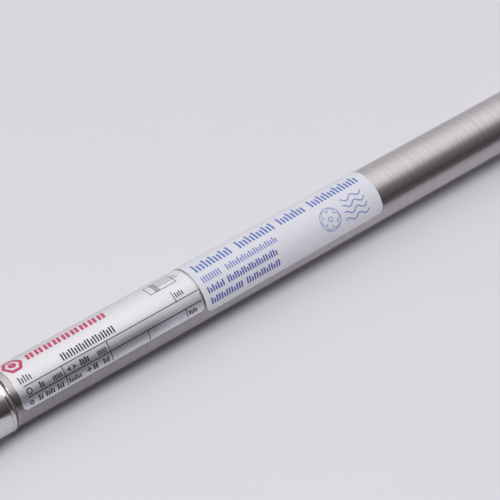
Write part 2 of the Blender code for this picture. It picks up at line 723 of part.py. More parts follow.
def make_nut(name, across_flats, thickness, thread_radius, steps, parent, station):
    """Hexagon nut with chamfered corners and a chamfered bore, one flat facing down."""
    corner = across_flats / math.sqrt(3)
    face = 0.95 * across_flats / 2
    outer = corner + CUT_MARGIN / 3
    drop = (outer - face) * math.tan(math.radians(30))
    bore = thread_radius + THREAD_GAP
    flare = 0.06 * thread_radius
    outline = [
        (0, bore + flare), (0, face), (drop, outer), (thickness - drop, outer),
        (thickness, face), (thickness, bore + flare),
        (thickness - flare, bore), (flare, bore),
    ]
    nut = turned(name, outline, steps, ZINC, parent, station)
    mesh = bmesh.new()
    turn = Matrix.Translation((thickness / 2 * MM, 0, 0))
    turn @= Matrix.Rotation(math.pi / 2, 4, 'Y') @ Matrix.Rotation(math.pi / 6, 4, 'Z')
    bmesh.ops.create_cone(mesh, cap_ends=True, segments=6, radius1=corner * MM,
                          radius2=corner * MM, depth=2 * thickness * MM, matrix=turn)
    bmesh.ops.rotate(mesh, verts=mesh.verts, matrix=Matrix.Rotation(math.pi / 6, 3, 'X'))
    hexagon = as_cutter(finish_mesh(mesh, name + "_hexagon", None, parent, station))
    apply_cut(nut, hexagon, 'INTERSECT')


def wrapped_sheet(name, kind, datum, place, size, corner, skew):
    """Thin sheet with round corners, wrapped on the tube.

    The place is the station of its near end and that end's low angle, counted up from
    the horizontal on the -Y side.  The size is length, height round the tube and
    thickness, and the skew is how many degrees higher its far end lies.
    """
    start, low_angle = place
    length, height, thickness = size
    radius = TUBE_RADIUS + SKIN_GAP
    turn = math.degrees(height / radius)
    bend = corner / height
    rows = [bend * share for share in (0, 0.15, 0.5)]
    rows += [bend + (1 - 2 * bend) * i / SHEET_ROWS for i in range(SHEET_ROWS + 1)]
    rows += [1 - bend * share for share in (0.5, 0.15, 0)]
    inner = length - 2 * corner
    columns = [0, *(corner + inner * i / SHEET_COLUMNS for i in range(SHEET_COLUMNS + 1)), length]
    mesh = bmesh.new()
    bmesh.ops.create_grid(mesh, x_segments=len(columns) - 1, y_segments=len(rows) - 1, size=0.5)
    for vert in mesh.verts:
        along = columns[round((vert.co.x + 0.5) * (len(columns) - 1))]
        row = rows[round((vert.co.y + 0.5) * (len(rows) - 1))]
        reach = max(0.0, corner - min(row, 1 - row) * height)
        inset = corner - math.sqrt(corner ** 2 - reach ** 2)
        along = min(max(along, inset), length - inset)
        angle = math.radians(low_angle + row * turn + skew * along / length)
        vert.co = Vector((start + along, -radius * math.cos(angle), radius * math.sin(angle))) * MM
    sheet = finish_mesh(mesh, name, kind, datum)
    face = sheet.data.polygons[0]
    outward = face.normal.y * face.center.y + face.normal.z * face.center.z > 0
    thick = sheet.modifiers.new("thickness", 'SOLIDIFY')
    thick.thickness = thickness * MM
    thick.offset = 1.0 if outward else -1.0
    return sheet


def make_label_and_sticker(datum):
    """Foil data label and, with a strip of bare tube between them, the white sticker."""
    size = (LABEL_LENGTH, LABEL_HEIGHT, LABEL_THICKNESS)
    place = (LABEL_START, LABEL_LOW_ANGLE)
    wrapped_sheet("data_label", FOIL, datum, place, size, LABEL_CORNER, 0)
    size = (STICKER_LENGTH, STICKER_HEIGHT, STICKER_THICKNESS)
    place = (STICKER_START, STICKER_LOW_ANGLE)
    wrapped_sheet("white_sticker", PAPER, datum, place, size, STICKER_CORNER, STICKER_SKEW)


def main():
    """Build the cylinder with the rod fully in."""
    clear_scene()
    datum = guide("rear_shoulder")
    datum.location = (DATUM_X * MM, 0, AXIS_HEIGHT * MM)
    travel = guide("piston_travel", PISTON_STATION, datum)

    make_tube(datum)
    make_rear_cover(datum)
    make_front_cover(datum)
    make_cover_rings(datum)
    make_cushion_seals(datum)
    make_rod_guide(datum)
    make_needle_screw("rear", datum, 0.0, 1)
    make_needle_screw("front", datum, COVER_SPAN, -1)
    make_label_and_sticker(datum)
    nut_station = COVER_SPAN + NOSE_LENGTH - NOSE_NUT_SETBACK - NOSE_NUT_THICKNESS
    make_nut("nose_nut", NOSE_NUT_ACROSS_FLATS, NOSE_NUT_THICKNESS, NOSE_RADIUS, WIDE_STEPS,
             datum, nut_station)

    make_rod(travel)
    make_piston(travel)
    make_piston_rings(travel)
    make_sleeves(travel)
    rod_nut_station = ROD_SHOULDER + ROD_NUT_SETBACK - PISTON_STATION
    make_nut("rod_nut", ROD_NUT_ACROSS_FLATS, ROD_NUT_THICKNESS, ROD_THREAD_DIAMETER / 2, NARROW_STEPS,
             travel, rod_nut_station)


main()
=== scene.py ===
# %% [markdown]
# # A round pneumatic cylinder, dressed for a photograph
# The real object is a slim air cylinder: a ground steel tube between two turned end
# covers, with a rod that slides out of the front one.  Its solids come from a imported CAD
# model, where round pieces have few faces and threads are plain.  This lesson puts finely
# turned pieces, real screw threads, printed labels and procedural finishes round them.
# Pieces are sized in millimetres, with stations along the axis from the rear shoulder.
# The camera, the lamp, the floor and the patterns in materials are placed in metres.

# %% Load the imported part
import json
import math

import bmesh
import bpy
import numpy as np
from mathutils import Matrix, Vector


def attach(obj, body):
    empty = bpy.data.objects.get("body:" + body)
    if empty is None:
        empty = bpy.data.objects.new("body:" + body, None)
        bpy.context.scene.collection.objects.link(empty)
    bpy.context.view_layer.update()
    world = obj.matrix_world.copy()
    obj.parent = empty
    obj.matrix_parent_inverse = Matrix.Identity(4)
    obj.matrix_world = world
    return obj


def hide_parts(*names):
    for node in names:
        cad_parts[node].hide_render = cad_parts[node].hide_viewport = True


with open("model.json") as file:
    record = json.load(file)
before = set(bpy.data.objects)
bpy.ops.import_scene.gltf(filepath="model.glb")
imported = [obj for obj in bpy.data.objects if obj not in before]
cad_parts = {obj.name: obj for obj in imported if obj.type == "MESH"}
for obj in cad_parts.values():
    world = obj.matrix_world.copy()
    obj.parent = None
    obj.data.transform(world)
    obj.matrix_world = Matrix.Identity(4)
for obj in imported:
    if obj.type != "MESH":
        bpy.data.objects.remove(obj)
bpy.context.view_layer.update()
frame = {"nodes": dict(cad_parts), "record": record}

scene = bpy.context.scene
MM = 0.001
REAR_SHOULDER = -134.5
AXIS_HEIGHT = 12.0
COVER_SPAN = 250.0

# %% [markdown]
# ## The camera
# The photograph looks down on the middle of the tube from the left, with a long lens, so
# the tube runs up to the right and narrows only a little.  A camera could be aimed by
# hand, but here its place and turn were worked out from the tube's two outlines and the
# edges of the labels, whose real sizes are known.

# %% Camera
CAMERA_PLACE = (-0.321947, -0.354156, 0.426663)
CAMERA_TURN = (48.2952, 0.1155, -39.7649)

lens = bpy.data.cameras.new("photo_camera")
lens.lens = 151.33
lens.sensor_width = 36.0
lens.clip_end = 20.0
camera = bpy.data.objects.new("photo_camera", lens)
camera.location = CAMERA_PLACE
camera.rotation_euler = [math.radians(turn) for turn in CAMERA_TURN]
scene.collection.objects.link(camera)
scene.camera = camera
scene.view_settings.view_transform = "Standard"
print("camera is", round(math.dist(CAMERA_PLACE, (0, 0, AXIS_HEIGHT * MM)), 3), "m from the part")

# %% [markdown]
# ## Arithmetic for node graphs
# A finish is a graph of small sums.  They could be wired by hand in the shader editor.
# Here a value from the graph is wrapped, so that writing a sum in Python adds the Math
# nodes that work it out.


# %% A wrapped value
class Wire:
    """One output in a node graph.  A sum written with it adds the Math nodes it needs."""

    def __init__(self, graph, socket):
        self.graph = graph
        self.socket = socket

    def sum(self, operation, first, second):
        return self.graph.node("Math", {"operation": operation}, {0: first, 1: second})

    def __add__(self, other):
        return self.sum("ADD", self, other)

    def __rsub__(self, other):
        return self.sum("SUBTRACT", other, self)

    def __mul__(self, other):
        return self.sum("MULTIPLY", self, other)


def paint(colour):
    """A colour with full alpha, as a socket wants it.  A wire stays as it is."""
    return colour if isinstance(colour, Wire) else (*colour, 1.0)


# %% The graph of a material or a sky
NOISE_LOW = 0.3
NOISE_HIGH = 0.7


class Graph:
    """The node graph of a material or a world, emptied and ready to be filled."""

    def __init__(self, owner):
        owner.use_nodes = True
        self.tree = owner.node_tree
        self.tree.nodes.clear()

    def node(self, kind, settings=None, inputs=None, output=0):
        """Add a node, set it up, connect or set its inputs and return one output."""
        made = self.tree.nodes.new("ShaderNode" + kind)
        for name, value in (settings or {}).items():
            setattr(made, name, value)
        for name, value in (inputs or {}).items():
            if isinstance(value, Wire):
                self.tree.links.new(value.socket, made.inputs[name])
            else:
                made.inputs[name].default_value = value
        return Wire(self, made.outputs[output]) if made.outputs else made

    def mix(self, share, first, second):
        """Blend two colours: the share of the second runs from 0 to 1."""
        inputs = {0: share, 6: paint(first), 7: paint(second)}
        return self.node("Mix", {"data_type": "RGBA"}, inputs, output=2)

    def ramp(self, value, low, high, start=0.0, end=1.0):
        """Carry a value smoothly from start to end as it goes from low to high."""
        inputs = {0: value, 1: low, 2: high, 3: start, 4: end}
        return self.node("MapRange", {"interpolation_type": "SMOOTHSTEP"}, inputs)

    def vary(self, noise, start=0.0, end=1.0):
        """Let noise, which keeps mostly to the middle of 0 to 1, carry a value."""
        return self.ramp(noise, NOISE_LOW, NOISE_HIGH, start, end)

    def parts(self, vector):
        """The three numbers of a vector."""
        made = self.node("SeparateXYZ", inputs={0: vector}).socket.node
        return [Wire(self, socket) for socket in made.outputs]

    def steps(self, value, stops):
        """Carry a value from 0 to 1 through a list of (position, level) stops."""
        ramp = self.node("ValToRGB", inputs={0: value}).socket.node
        marks = ramp.color_ramp.elements
        while len(marks) < len(stops):
            marks.new(0.5)
        for mark, (position, level) in zip(marks, stops):
            mark.position = position
            mark.color = (level, level, level, 1.0)
        return Wire(self, ramp.outputs[0])

    def noise(self, waves, detail=3.0):
        """Noise with so many waves a metre: one number, or one for each direction."""
        place = self.node("TexCoord", output="Object")
        scale = waves if isinstance(waves, tuple) else (waves, waves, waves)
        spread = self.node("Mapping", inputs={"Vector": place, "Scale": scale})
        inputs = {"Vector": spread, "Scale": 1.0, "Detail": detail, "Roughness": 0.55}
        return self.node("TexNoise", inputs=inputs)

    def bump(self, height, distance):
        """Turn a height between 0 and 1 into a bumpy normal, the distance in metres."""
        return self.node("Bump", inputs={"Height": height, "Distance": distance})


# %% A material from a graph
def finish(name, colour, roughness, metallic=0.0, normal=None):
    """Make a material.  A function given for a value fills the graph with what varies."""
    made = bpy.data.materials.new(name)
    graph = Graph(made)
    given = {"Base Color": colour, "Roughness": roughness, "Metallic": metallic, "Normal": normal}
    values = {socket: value(graph) if callable(value) else value
              for socket, value in given.items() if value is not None}
    shader = graph.node("BsdfPrincipled", inputs=values)
    graph.node("OutputMaterial", inputs={"Surface": shader})
    return made


# %% [markdown]
# ## Floor and light
# The cylinder lies on a pale, even surface.  Steel shows what is round it more than its
# own colour, so the light matters as much as the finish: a soft sheet of light stands
# overhead and behind, and the room in front is dark from the horizon up to the camera.
# That gives the tube its pale top, its dark band and the pale floor below it.  The room
# gets darker toward the left, and a pale patch far off to the right lights rolled edges.
# The narrow shadow comes from one more soft lamp, high up and a little to the left.
# A ring of lamps could do all this, but a sky that depends mostly on how high it is
# looked up to across the tube gives even, soft bands along it.
# In metal the floor also mirrors painted shade, darker toward the front and toward the left.

# %% Sky across the tube
SKY_PEAK = 1.36
LEFT_FADE = (-0.15, 0.3)
LEFT_SHARE = 0.15
RIGHT_PATCH = (0.80, 0.92)
RIGHT_STRENGTH = 0.5
GLOOM_FADE = (0.37, 0.43)
GLOOM_LEVELS = (0.15, 0.45)
GLOOM_SHARE = 0.55
TINT_LEVELS = (0.0, 0.5)
DARK_TINT = (1.0, 0.84, 0.90)
PALE_TINT = (1.0, 0.985, 1.0)
WALL = (0.73, 0.72, 0.76)
# Degrees from the horizon in front, up over the tube and down behind it, and the share
# of the peak at each.
SKY_BY_TURN = ((0, 0.072), (10, 0.09), (22, 0.13), (34, 0.18), (46, 0.25), (57, 0.47), (66, 0.72),
               (74, 0.85), (84, 0.95), (94, 1.0), (106, 0.98), (117, 0.92), (127, 0.84), (138, 0.74),
               (150, 0.62), (165, 0.56), (180, 0.55))

world = bpy.data.worlds.new("studio")
scene.world = world
sky = Graph(world)
direction = sky.node("TexCoord", output="Generated")
along, across, up = sky.parts(direction)
turn = sky.node("Math", {"operation": "ARCTAN2"}, {0: up, 1: 0.0 - across})
bands = sky.steps(turn * (1 / math.pi), [(degrees / 180, level) for degrees, level in SKY_BY_TURN])
strength = bands * sky.ramp(along, *LEFT_FADE, SKY_PEAK * LEFT_SHARE, SKY_PEAK)
strength = strength + sky.ramp(along, *RIGHT_PATCH, 0.0, RIGHT_STRENGTH)
gloom = sky.ramp(along, *GLOOM_FADE, GLOOM_SHARE, 0.0) * sky.ramp(bands, *GLOOM_LEVELS, 1.0, 0.0)
strength = strength * (1.0 - gloom)
tint = sky.mix(sky.ramp(bands, *TINT_LEVELS), DARK_TINT, PALE_TINT)
soft_room = sky.node("Background", inputs={"Color": tint, "Strength": strength})
pale_wall = sky.node("Background", inputs={"Color": paint(WALL), "Strength": 1.0})
in_camera = sky.node("LightPath", output="Is Camera Ray")
seen_room = sky.node("MixShader", inputs={0: in_camera, 1: soft_room, 2: pale_wall})
sky.node("OutputWorld", inputs={"Surface": seen_room})
print("sky has", len(SKY_BY_TURN), "levels")

# %% Soft lamp overhead
LAMP_AWAY = 3.0

lamp = bpy.data.lights.new("soft_lamp", "AREA")
lamp.shape = "DISK"
lamp.size = 1.5
lamp.energy = 54.0
stand = bpy.data.objects.new("soft_lamp", lamp)
aside, lifted = math.radians(25.0), math.radians(73.0)
toward = Vector((-math.sin(aside), -math.cos(aside) * math.cos(lifted),
                 math.cos(aside) * math.sin(lifted)))
stand.location = toward * LAMP_AWAY
stand.rotation_euler = toward.to_track_quat("Z", "Y").to_euler()
scene.collection.objects.link(stand)
print("lamp stands at", stand.location)

# %% Meshes from points
SHARP = 35.0


def grid_faces(rows, columns, loop_rows, loop_columns):
    """Quads that join each grid point to its neighbours, round the end where it loops."""
    i, j = np.meshgrid(np.arange(rows - (not loop_rows)),
                       np.arange(columns - (not loop_columns)), indexing="ij")
    next_i, next_j = (i + 1) % rows, (j + 1) % columns
    corners = [i * columns + j, next_i * columns + j, next_i * columns + next_j, i * columns + next_j]
    return np.stack(corners, -1).reshape(-1, 4)


def shaded(mesh, sharp):
    """Shade a mesh smoothly, with sharp edges where faces meet at more than an angle."""
    mesh.shade_smooth()
    mesh.set_sharp_from_angle(angle=math.radians(sharp))


def mesh_object(name, points, faces):
    """Make an object from an array of points and a list of faces."""
    mesh = bpy.data.meshes.new(name)
    mesh.from_pydata(points.reshape(-1, 3).tolist(), [], [list(map(int, face)) for face in faces])
    shaded(mesh, SHARP)
    made = bpy.data.objects.new(name, mesh)
    scene.collection.objects.link(made)
    return made


# %% Floor
FLOOR_SIZE = 6.0
NUT_MIDDLE = 262.2
REAR_RIM = 0.4
REAR_RIM_RADIUS = 10.0
FLOOR_DULL = (0.676, 0.672, 0.712)
FLOOR_PALE = (0.696, 0.692, 0.732)
# Painted shade that only reflections in metal see: the floor is mirrored darker toward the front and toward
# the left, less so under the rear cover.
MIRROR_FRONT = (-0.075, -0.010)
MIRROR_FRONT_SHARE = 0.14
MIRROR_LEFT = (-0.12, 0.06)
MIRROR_LEFT_SHARE = 0.60
COVER_BORDER = (-0.1182, -0.1168)
COVER_BORDER_SLANT = 0.31
COVER_SHARE = 0.3


def lean(station):
    """Height of the surface under a station, from the nut's flat to the rear cover's rim."""
    share = (NUT_MIDDLE - station) / (NUT_MIDDLE - REAR_RIM)
    return share * (AXIS_HEIGHT - REAR_RIM_RADIUS) * MM


def floor_colour_with_painted_reflection(graph):
    """A pale cloudy grey, which metal mirrors with painted shade, darker toward the front and toward the
    left.

    Under the cover at the left end much less of that painted shade is mirrored.
    """
    pale = graph.mix(graph.noise(waves=9), FLOOR_DULL, FLOOR_PALE)
    x, y, _ = graph.parts(graph.node("TexCoord", output="Object"))
    # Painted reflection: the share of the pale floor that metal still mirrors, by place.
    seen = (graph.ramp(y, *MIRROR_FRONT, MIRROR_FRONT_SHARE, 1.0)
            * graph.ramp(x, *MIRROR_LEFT, MIRROR_LEFT_SHARE, 1.0))
    painted_shade_reach = graph.ramp(x + y * COVER_BORDER_SLANT, *COVER_BORDER, COVER_SHARE, 1.0)
    in_metal = graph.node("LightPath", output="Is Glossy Ray")
    return graph.mix(in_metal * painted_shade_reach * (1.0 - seen), pale, (0.0, 0.0, 0.0))


side = (-FLOOR_SIZE / 2, FLOOR_SIZE / 2)
x, y = np.meshgrid(side, side, indexing="ij")
floor = mesh_object("floor", np.stack([x, y, lean(x / MM - REAR_SHOULDER)], -1), [(0, 2, 3, 1)])
floor.data.materials.append(finish("pale_floor", floor_colour_with_painted_reflection, 0.9))
print("floor leans", round(math.degrees(lean(0) / (NUT_MIDDLE * MM)), 2), "degrees")

# %% [markdown]
# ## Turned shapes
# Most pieces were made on a lathe: a profile goes once round an axis.  Blender's Spin or
# Screw modifier could do it.  Here the whole surface is one array, the radius as a
# function of station and angle, because that also lets a screw thread cut into it.

# %% Rounded and finer profiles
CURVE_POINTS = 5
CURVE_MOST = 0.42
GUARD_REACH = 1.8
GUARD_MOST = 0.46
SLACK = 0.01


def softened(corners, reach, closed=True):
    """Round every corner of a profile.

    A corner P between neighbours becomes the curve (1-t)^2 A + 2t(1-t) P + t^2 B, where A
    and B lie at most the reach away from P on its two sides.  A guard point a little
    further out on either side keeps the shading of the long faces flat.
    """
    corners = np.array(corners, float)
    t = np.linspace(0, 1, CURVE_POINTS)[None, :, None]
    before, after = np.roll(corners, 1, 0) - corners, np.roll(corners, -1, 0) - corners

    def out(side, distance, most):
        share = np.minimum(distance / np.linalg.norm(side, axis=1, keepdims=True), most)
        return (corners + side * share)[:, None]

    low, high = out(before, reach, CURVE_MOST), out(after, reach, CURVE_MOST)
    curve = (1 - t) ** 2 * low + 2 * t * (1 - t) * corners[:, None] + t ** 2 * high
    first, last = (out(side, GUARD_REACH * reach, GUARD_MOST) for side in (before, after))
    curve = np.concatenate([first, curve, last], axis=1)
    if closed:
        return curve.reshape(-1, 2)
    return np.concatenate([corners[:1], curve[1:-1].reshape(-1, 2), corners[-1:]])


def dense(profile, start, end, step):
    """The profile with its straight stretches between two stations cut up in steps."""
    parts = []
    for a, b in zip(profile, profile[1:]):
        inside = min(a[0], b[0]) >= start - SLACK and max(a[0], b[0]) <= end + SLACK
        count = max(1, math.ceil(np.hypot(*(b - a)) / step)) if inside else 1
        parts.append(np.linspace(a, b, count, endpoint=False))
    return np.concatenate([*parts, profile[-1:]])


def mirrored(profile, length=COVER_SPAN):
    """The profile turned end for end, in reverse order."""
    return [(length - x, r) for x, r in reversed(profile)]


# %% Screw threads
FLANK_RISE = 1.3
FLANK_CUT = 0.15


def screw_thread(start, end, major, pitch, depth):
    """Rule that cuts a thread of a major radius, a pitch and a depth into a radius.

    The groove's phase is station over pitch less angle over a full turn, so its floor
    climbs one pitch a turn.  The wave is cut off at both ends, which leaves a flat crest
    and a flat floor.  The radius is the lower of the profile's and the groove's.
    """
    def rule(station, angle, radius):
        wave = 0.5 + 0.5 * np.cos(2 * np.pi * station / pitch - angle)
        groove = major - depth * np.clip(FLANK_RISE * wave - FLANK_CUT, 0, 1)
        inside = (station > start) & (station < end)
        return np.where(inside, np.minimum(radius, groove), radius)
    return rule


# %% Turned surfaces
ALONG = np.eye(3)
SIDEWAYS = np.array([[0, 1, 0], [-1, 0, 0], [0, 0, 1]])
UPWARD = np.array([[0, 0, -1], [0, 1, 0], [1, 0, 0]])
COVER_ROUND = 192
ROD_ROUND = 96
HOLE_ROUND = 64
CHANNEL_ROUND = 24


def placed(points):
    """Points from the rear shoulder in millimetres, carried to the part's own metres."""
    return (points + (REAR_SHOULDER, 0, AXIS_HEIGHT)) * MM


def welded(piece, sharp=SHARP):
    """Merge points that meet at a pole or seam, and face every side outwards."""
    mesh = bmesh.new()
    mesh.from_mesh(piece.data)
    bmesh.ops.remove_doubles(mesh, verts=mesh.verts, dist=1e-8)
    bmesh.ops.recalc_face_normals(mesh, faces=mesh.faces)
    mesh.to_mesh(piece.data)
    mesh.free()
    shaded(piece.data, sharp)
    return piece


def turned(name, profile, steps, axis=ALONG, at=(0, 0, 0), thread=None):
    """A turned piece.

    A profile point (station, radius) becomes station, radius cos(angle) and radius
    sin(angle) along the three columns of the axis, from the point it stands at.
    """
    profile = np.asarray(profile, float)
    angle = np.linspace(0, 2 * np.pi, steps, endpoint=False)
    station, angle = np.meshgrid(profile[:, 0], angle, indexing="ij")
    radius = np.broadcast_to(profile[:, 1:], station.shape)
    if thread:
        radius = thread(station, angle, radius)
    own = np.stack([station, radius * np.cos(angle), radius * np.sin(angle)], -1)
    on_axis = profile[0, 1] == 0 and profile[-1, 1] == 0
    faces = grid_faces(*station.shape, not on_axis, True)
    return welded(mesh_object(name, placed(own @ axis.T + np.array(at)), faces))


# %% Milling
MILLED_SHARP = 30.0


def prism(name, outline, low, high):
    """An outline in the upright plane, carried from one side of the axis to the other."""
    outline = np.array(outline, float)
    count = len(outline)
    ends = [np.stack([outline[:, 0], np.full(count, y), outline[:, 1]], -1) for y in (low, high)]
    caps = [list(range(count)), list(range(count, 2 * count))]
    faces = grid_faces(2, count, False, True).tolist() + caps
    return welded(mesh_object(name, placed(np.concatenate(ends)), faces))


def block(name, low, high):
    """A plain block between two corners, used to mill flats and slots."""
    outline = [(low[0], low[2]), (high[0], low[2]), (high[0], high[2]), (low[0], high[2])]
    return prism(name, outline, low[1], high[1])


def milled(piece, cutter, operation="DIFFERENCE"):
    """Cut a piece with a cutter, keep the result as plain faces and drop the cutter."""
    change = piece.modifiers.new("mill", "BOOLEAN")
    change.operation = operation
    change.solver = "EXACT"
    change.object = cutter
    bpy.context.view_layer.update()
    result = piece.evaluated_get(bpy.context.evaluated_depsgraph_get())
    cut = bpy.data.meshes.new_from_object(result)
    piece.modifiers.clear()
    piece.data = cut
    bpy.data.objects.remove(cutter)
    shaded(cut, MILLED_SHARP)
    return piece


def flattened(piece, start, end, half, beyond):
    """Mill two flats between two stations, each at half their width from the axis."""
    for side in (-1, 1):
        low, high = sorted((side * half, side * beyond))
        milled(piece, block("flat_cutter", (start, low, -beyond), (end, high, beyond)))


# %% Fitting a piece to the frame
def fit(piece, body, slot, material, *nodes):
    """Let a piece ride on its body, take its finish, and stand for its solids."""
    piece.data.materials.clear()
    piece.data.materials.append(material)
    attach(piece, body)
    if nodes:
        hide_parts(*nodes)
    print(piece.name, len(piece.data.polygons), "faces")


# %% [markdown]
# ## Worked metal
# Each metal keeps the marks of how it was made.  The tube was ground, so fine lines run
# round it; covers were turned, so their rings are finer and brighter; nuts were plated,
# so they are cloudy.  An image of brushed steel could be wrapped on, but lines in noise
# that is squeezed along the axis stay sharp at any size and have no seam.

# %% Metal finishes
THIN_STRETCH = 60
WIDE_STRETCH = 12


def lined(fine, coarse, share):
    """Marks round the axis: two noises squeezed along it, mixed by a share."""
    def marks(graph):
        thin = graph.noise((fine, fine / THIN_STRETCH, fine / THIN_STRETCH), 2.0)
        wide = graph.noise((coarse, coarse / WIDE_STRETCH, coarse / WIDE_STRETCH), 2.0)
        return thin * (1 - share) + wide * share
    return marks


def cloudy(graph):
    """Marks of plating, alike in every direction."""
    return graph.noise(waves=700, detail=4.0)


def marked(name, colour, marks, levels, shade, gloss, depth, metallic):
    """A material whose marks change its shade, its gloss and its surface a little."""
    dark = tuple(part * (1 - shade) for part in colour)
    return finish(name, lambda graph: graph.mix(graph.ramp(marks(graph), *levels), dark, colour),
                  lambda graph: graph.vary(marks(graph), *gloss), metallic,
                  lambda graph: graph.bump(marks(graph), depth))


def metal(name, colour, roughness, marks, spread, shade, depth):
    """A metal with the marks of how it was made, duller where they are dark."""
    gloss = (roughness + spread, roughness - spread / 2)
    return marked(name, colour, marks, (NOISE_LOW, NOISE_HIGH), shade, gloss, depth, 1.0)


barrel_steel = metal("ground_steel", (0.52, 0.49, 0.50), roughness=0.18,
                     marks=lined(4200, 900, 0.2), spread=0.03, shade=0.12, depth=1e-6)
rod_steel = metal("polished_steel", (0.66, 0.65, 0.645), roughness=0.16,
                  marks=lined(5000, 700, 0.3), spread=0.06, shade=0.08, depth=1e-6)
cover_metal = metal("turned_aluminium", (0.77, 0.765, 0.77), roughness=0.09,
                    marks=lined(4200, 900, 0.3), spread=0.03, shade=0.06, depth=5e-7)
zinc_steel = metal("zinc_plate", (0.62, 0.63, 0.65), roughness=0.30,
                   marks=cloudy, spread=0.12, shade=0.10, depth=4e-6)

# %% [markdown]
# ## Rubber, bearing plastic and magnet
# These pieces hardly show, but they are looked at when the cylinder is opened.  Rubber
# has a dull grain, the bearing plastic has darker specks of filler and the pressed magnet
# has a coarse grain.  Noise at the size of each grain gives all three.

# %% Moulded finishes
GRAIN_LEVELS = (0.35, 0.65)
GRAIN_GLOSS = 0.08
GRAIN_RELIEF = 0.02


def grained(name, colour, roughness, size, contrast, metallic=0.0):
    """A moulded or pressed material with a grain of a size in millimetres."""
    def grain(graph):
        return graph.noise(1 / (size * MM), 4.0)

    gloss = (roughness - GRAIN_GLOSS, roughness + GRAIN_GLOSS)
    return marked(name, colour, grain, GRAIN_LEVELS, contrast, gloss, GRAIN_RELIEF * size * MM, metallic)


seal_rubber = grained("seal_rubber", (0.022, 0.022, 0.024), 0.60, size=0.25, contrast=0.45)
bearing_plastic = grained("bearing_plastic", (0.36, 0.30, 0.22), 0.55, size=0.4, contrast=0.30)
pressed_magnet = grained("pressed_magnet", (0.11, 0.11, 0.12), 0.50, size=0.5, contrast=0.35, metallic=0.4)
# A dark grey for the thin ring beside each lip.
dark_bead_grey = grained("dark_bead_grey", (0.085, 0.082, 0.09), 0.45, size=0.3, contrast=0.3)

# %% Finishes of the solids that stay
finishes = {
    "barrel_steel": barrel_steel, "rod_steel": rod_steel, "cover_aluminium": cover_metal,
    "zinc_steel": zinc_steel, "seal_rubber": seal_rubber, "bearing_polymer": bearing_plastic,
    "magnet": pressed_magnet,
}
dressed = [part for part in frame["record"]["subparts"] if part["material_slot"] in finishes]
for part in dressed:
    for place in frame["nodes"][part["node"]].material_slots:
        place.material = finishes[part["material_slot"]]
print("solids with a finish of their own:", len(dressed))

# %% [markdown]
# ## The barrel
# The barrel is a thin steel tube whose ends are pressed into the covers.  It could be a
# plain cylinder with a Solidify modifier, but its two shallow grooves, where the lips of
# the covers catch, are part of the profile, so it is turned from that profile.

# %% Barrel tube
TUBE_RADIUS = 8.65
BORE_RADIUS = 8.0
TUBE_START = 10.3
TUBE_CHAMFER = 0.22
CATCH_START = 15.8
CATCH_END = 17.3
CATCH_DEPTH = 0.15
FINE_SOFTNESS = 0.06

tube_end = [
    (TUBE_START, BORE_RADIUS + TUBE_CHAMFER), (TUBE_START, TUBE_RADIUS - TUBE_CHAMFER),
    (TUBE_START + TUBE_CHAMFER, TUBE_RADIUS), (CATCH_START, TUBE_RADIUS),
    (CATCH_START + CATCH_DEPTH, TUBE_RADIUS - CATCH_DEPTH),
    (CATCH_END - CATCH_DEPTH, TUBE_RADIUS - CATCH_DEPTH), (CATCH_END, TUBE_RADIUS),
]
tube_bore = [(TUBE_START + 2 * TUBE_CHAMFER, BORE_RADIUS)]
tube_profile = tube_end + mirrored(tube_end) + mirrored(tube_bore) + tube_bore
tube = turned("steel_barrel", softened(tube_profile, FINE_SOFTNESS), COVER_ROUND)
fit(tube, "housing", "barrel_steel", barrel_steel, "barrel_tube")

# %% [markdown]
# ## End covers
# Both covers are turned from bar.  A thin skirt with a rolled lip grips the tube, a solid
# body holds the air port and the cushion screw, and a threaded boss stands out behind the
# mounting shoulder.  The rear boss is then milled to a tongue with an eye.  Boolean cuts
# do here what drill and mill do in the workshop, and they leave the same sharp edges.

# %% Profile shared by both covers
FACE_WALL = 2.5
POCKET_RADIUS = 4.3
POCKET_MOUTH = 0.25
RING_START = 12.4
RING_END = 14.5
RING_FLOOR = 5.03
SPIGOT_END = 15.0
SPIGOT_RADIUS = 7.95
SEAL_START = 11.8
SEAL_END = 13.4
SEAL_FLOOR = 6.8
BODY_LENGTH = 10.0
BODY_RADIUS = 10.0
EDGE = 0.4
SKIRT_INNER = 8.7
SKIRT_OUTER = 9.08
SKIRT_STEP = 0.46
LIP_START = 15.45
LIP_END = 16.42
LIP_OUTER = 9.18
LIP_INNER = 8.55
LIP_EDGE = 0.12
LIP_GROOVE = 0.35
LIP_GROOVE_FLOOR = 8.88

# The skirt ends in a half circle, from the tube out to the lip's crest.
middle, reach = (LIP_OUTER + LIP_INNER) / 2, (LIP_OUTER - LIP_INNER) / 2
angle = np.linspace(-np.pi / 2, np.pi / 2, 13)
lip = list(zip(LIP_END - reach + reach * np.cos(angle), middle + reach * np.sin(angle)))
pocket = [
    (FACE_WALL, POCKET_RADIUS), (RING_START, POCKET_RADIUS), (RING_START, RING_FLOOR),
    (RING_END, RING_FLOOR), (RING_END, POCKET_RADIUS), (SPIGOT_END, POCKET_RADIUS + POCKET_MOUTH),
]
spigot = [
    (SPIGOT_END, SPIGOT_RADIUS - EDGE), (SPIGOT_END - EDGE, SPIGOT_RADIUS),
    (SEAL_END, SPIGOT_RADIUS), (SEAL_END, SEAL_FLOOR), (SEAL_START, SEAL_FLOOR),
    (SEAL_START, SPIGOT_RADIUS), (BODY_LENGTH, SPIGOT_RADIUS), (BODY_LENGTH, SKIRT_INNER),
    (LIP_START, SKIRT_INNER),
]
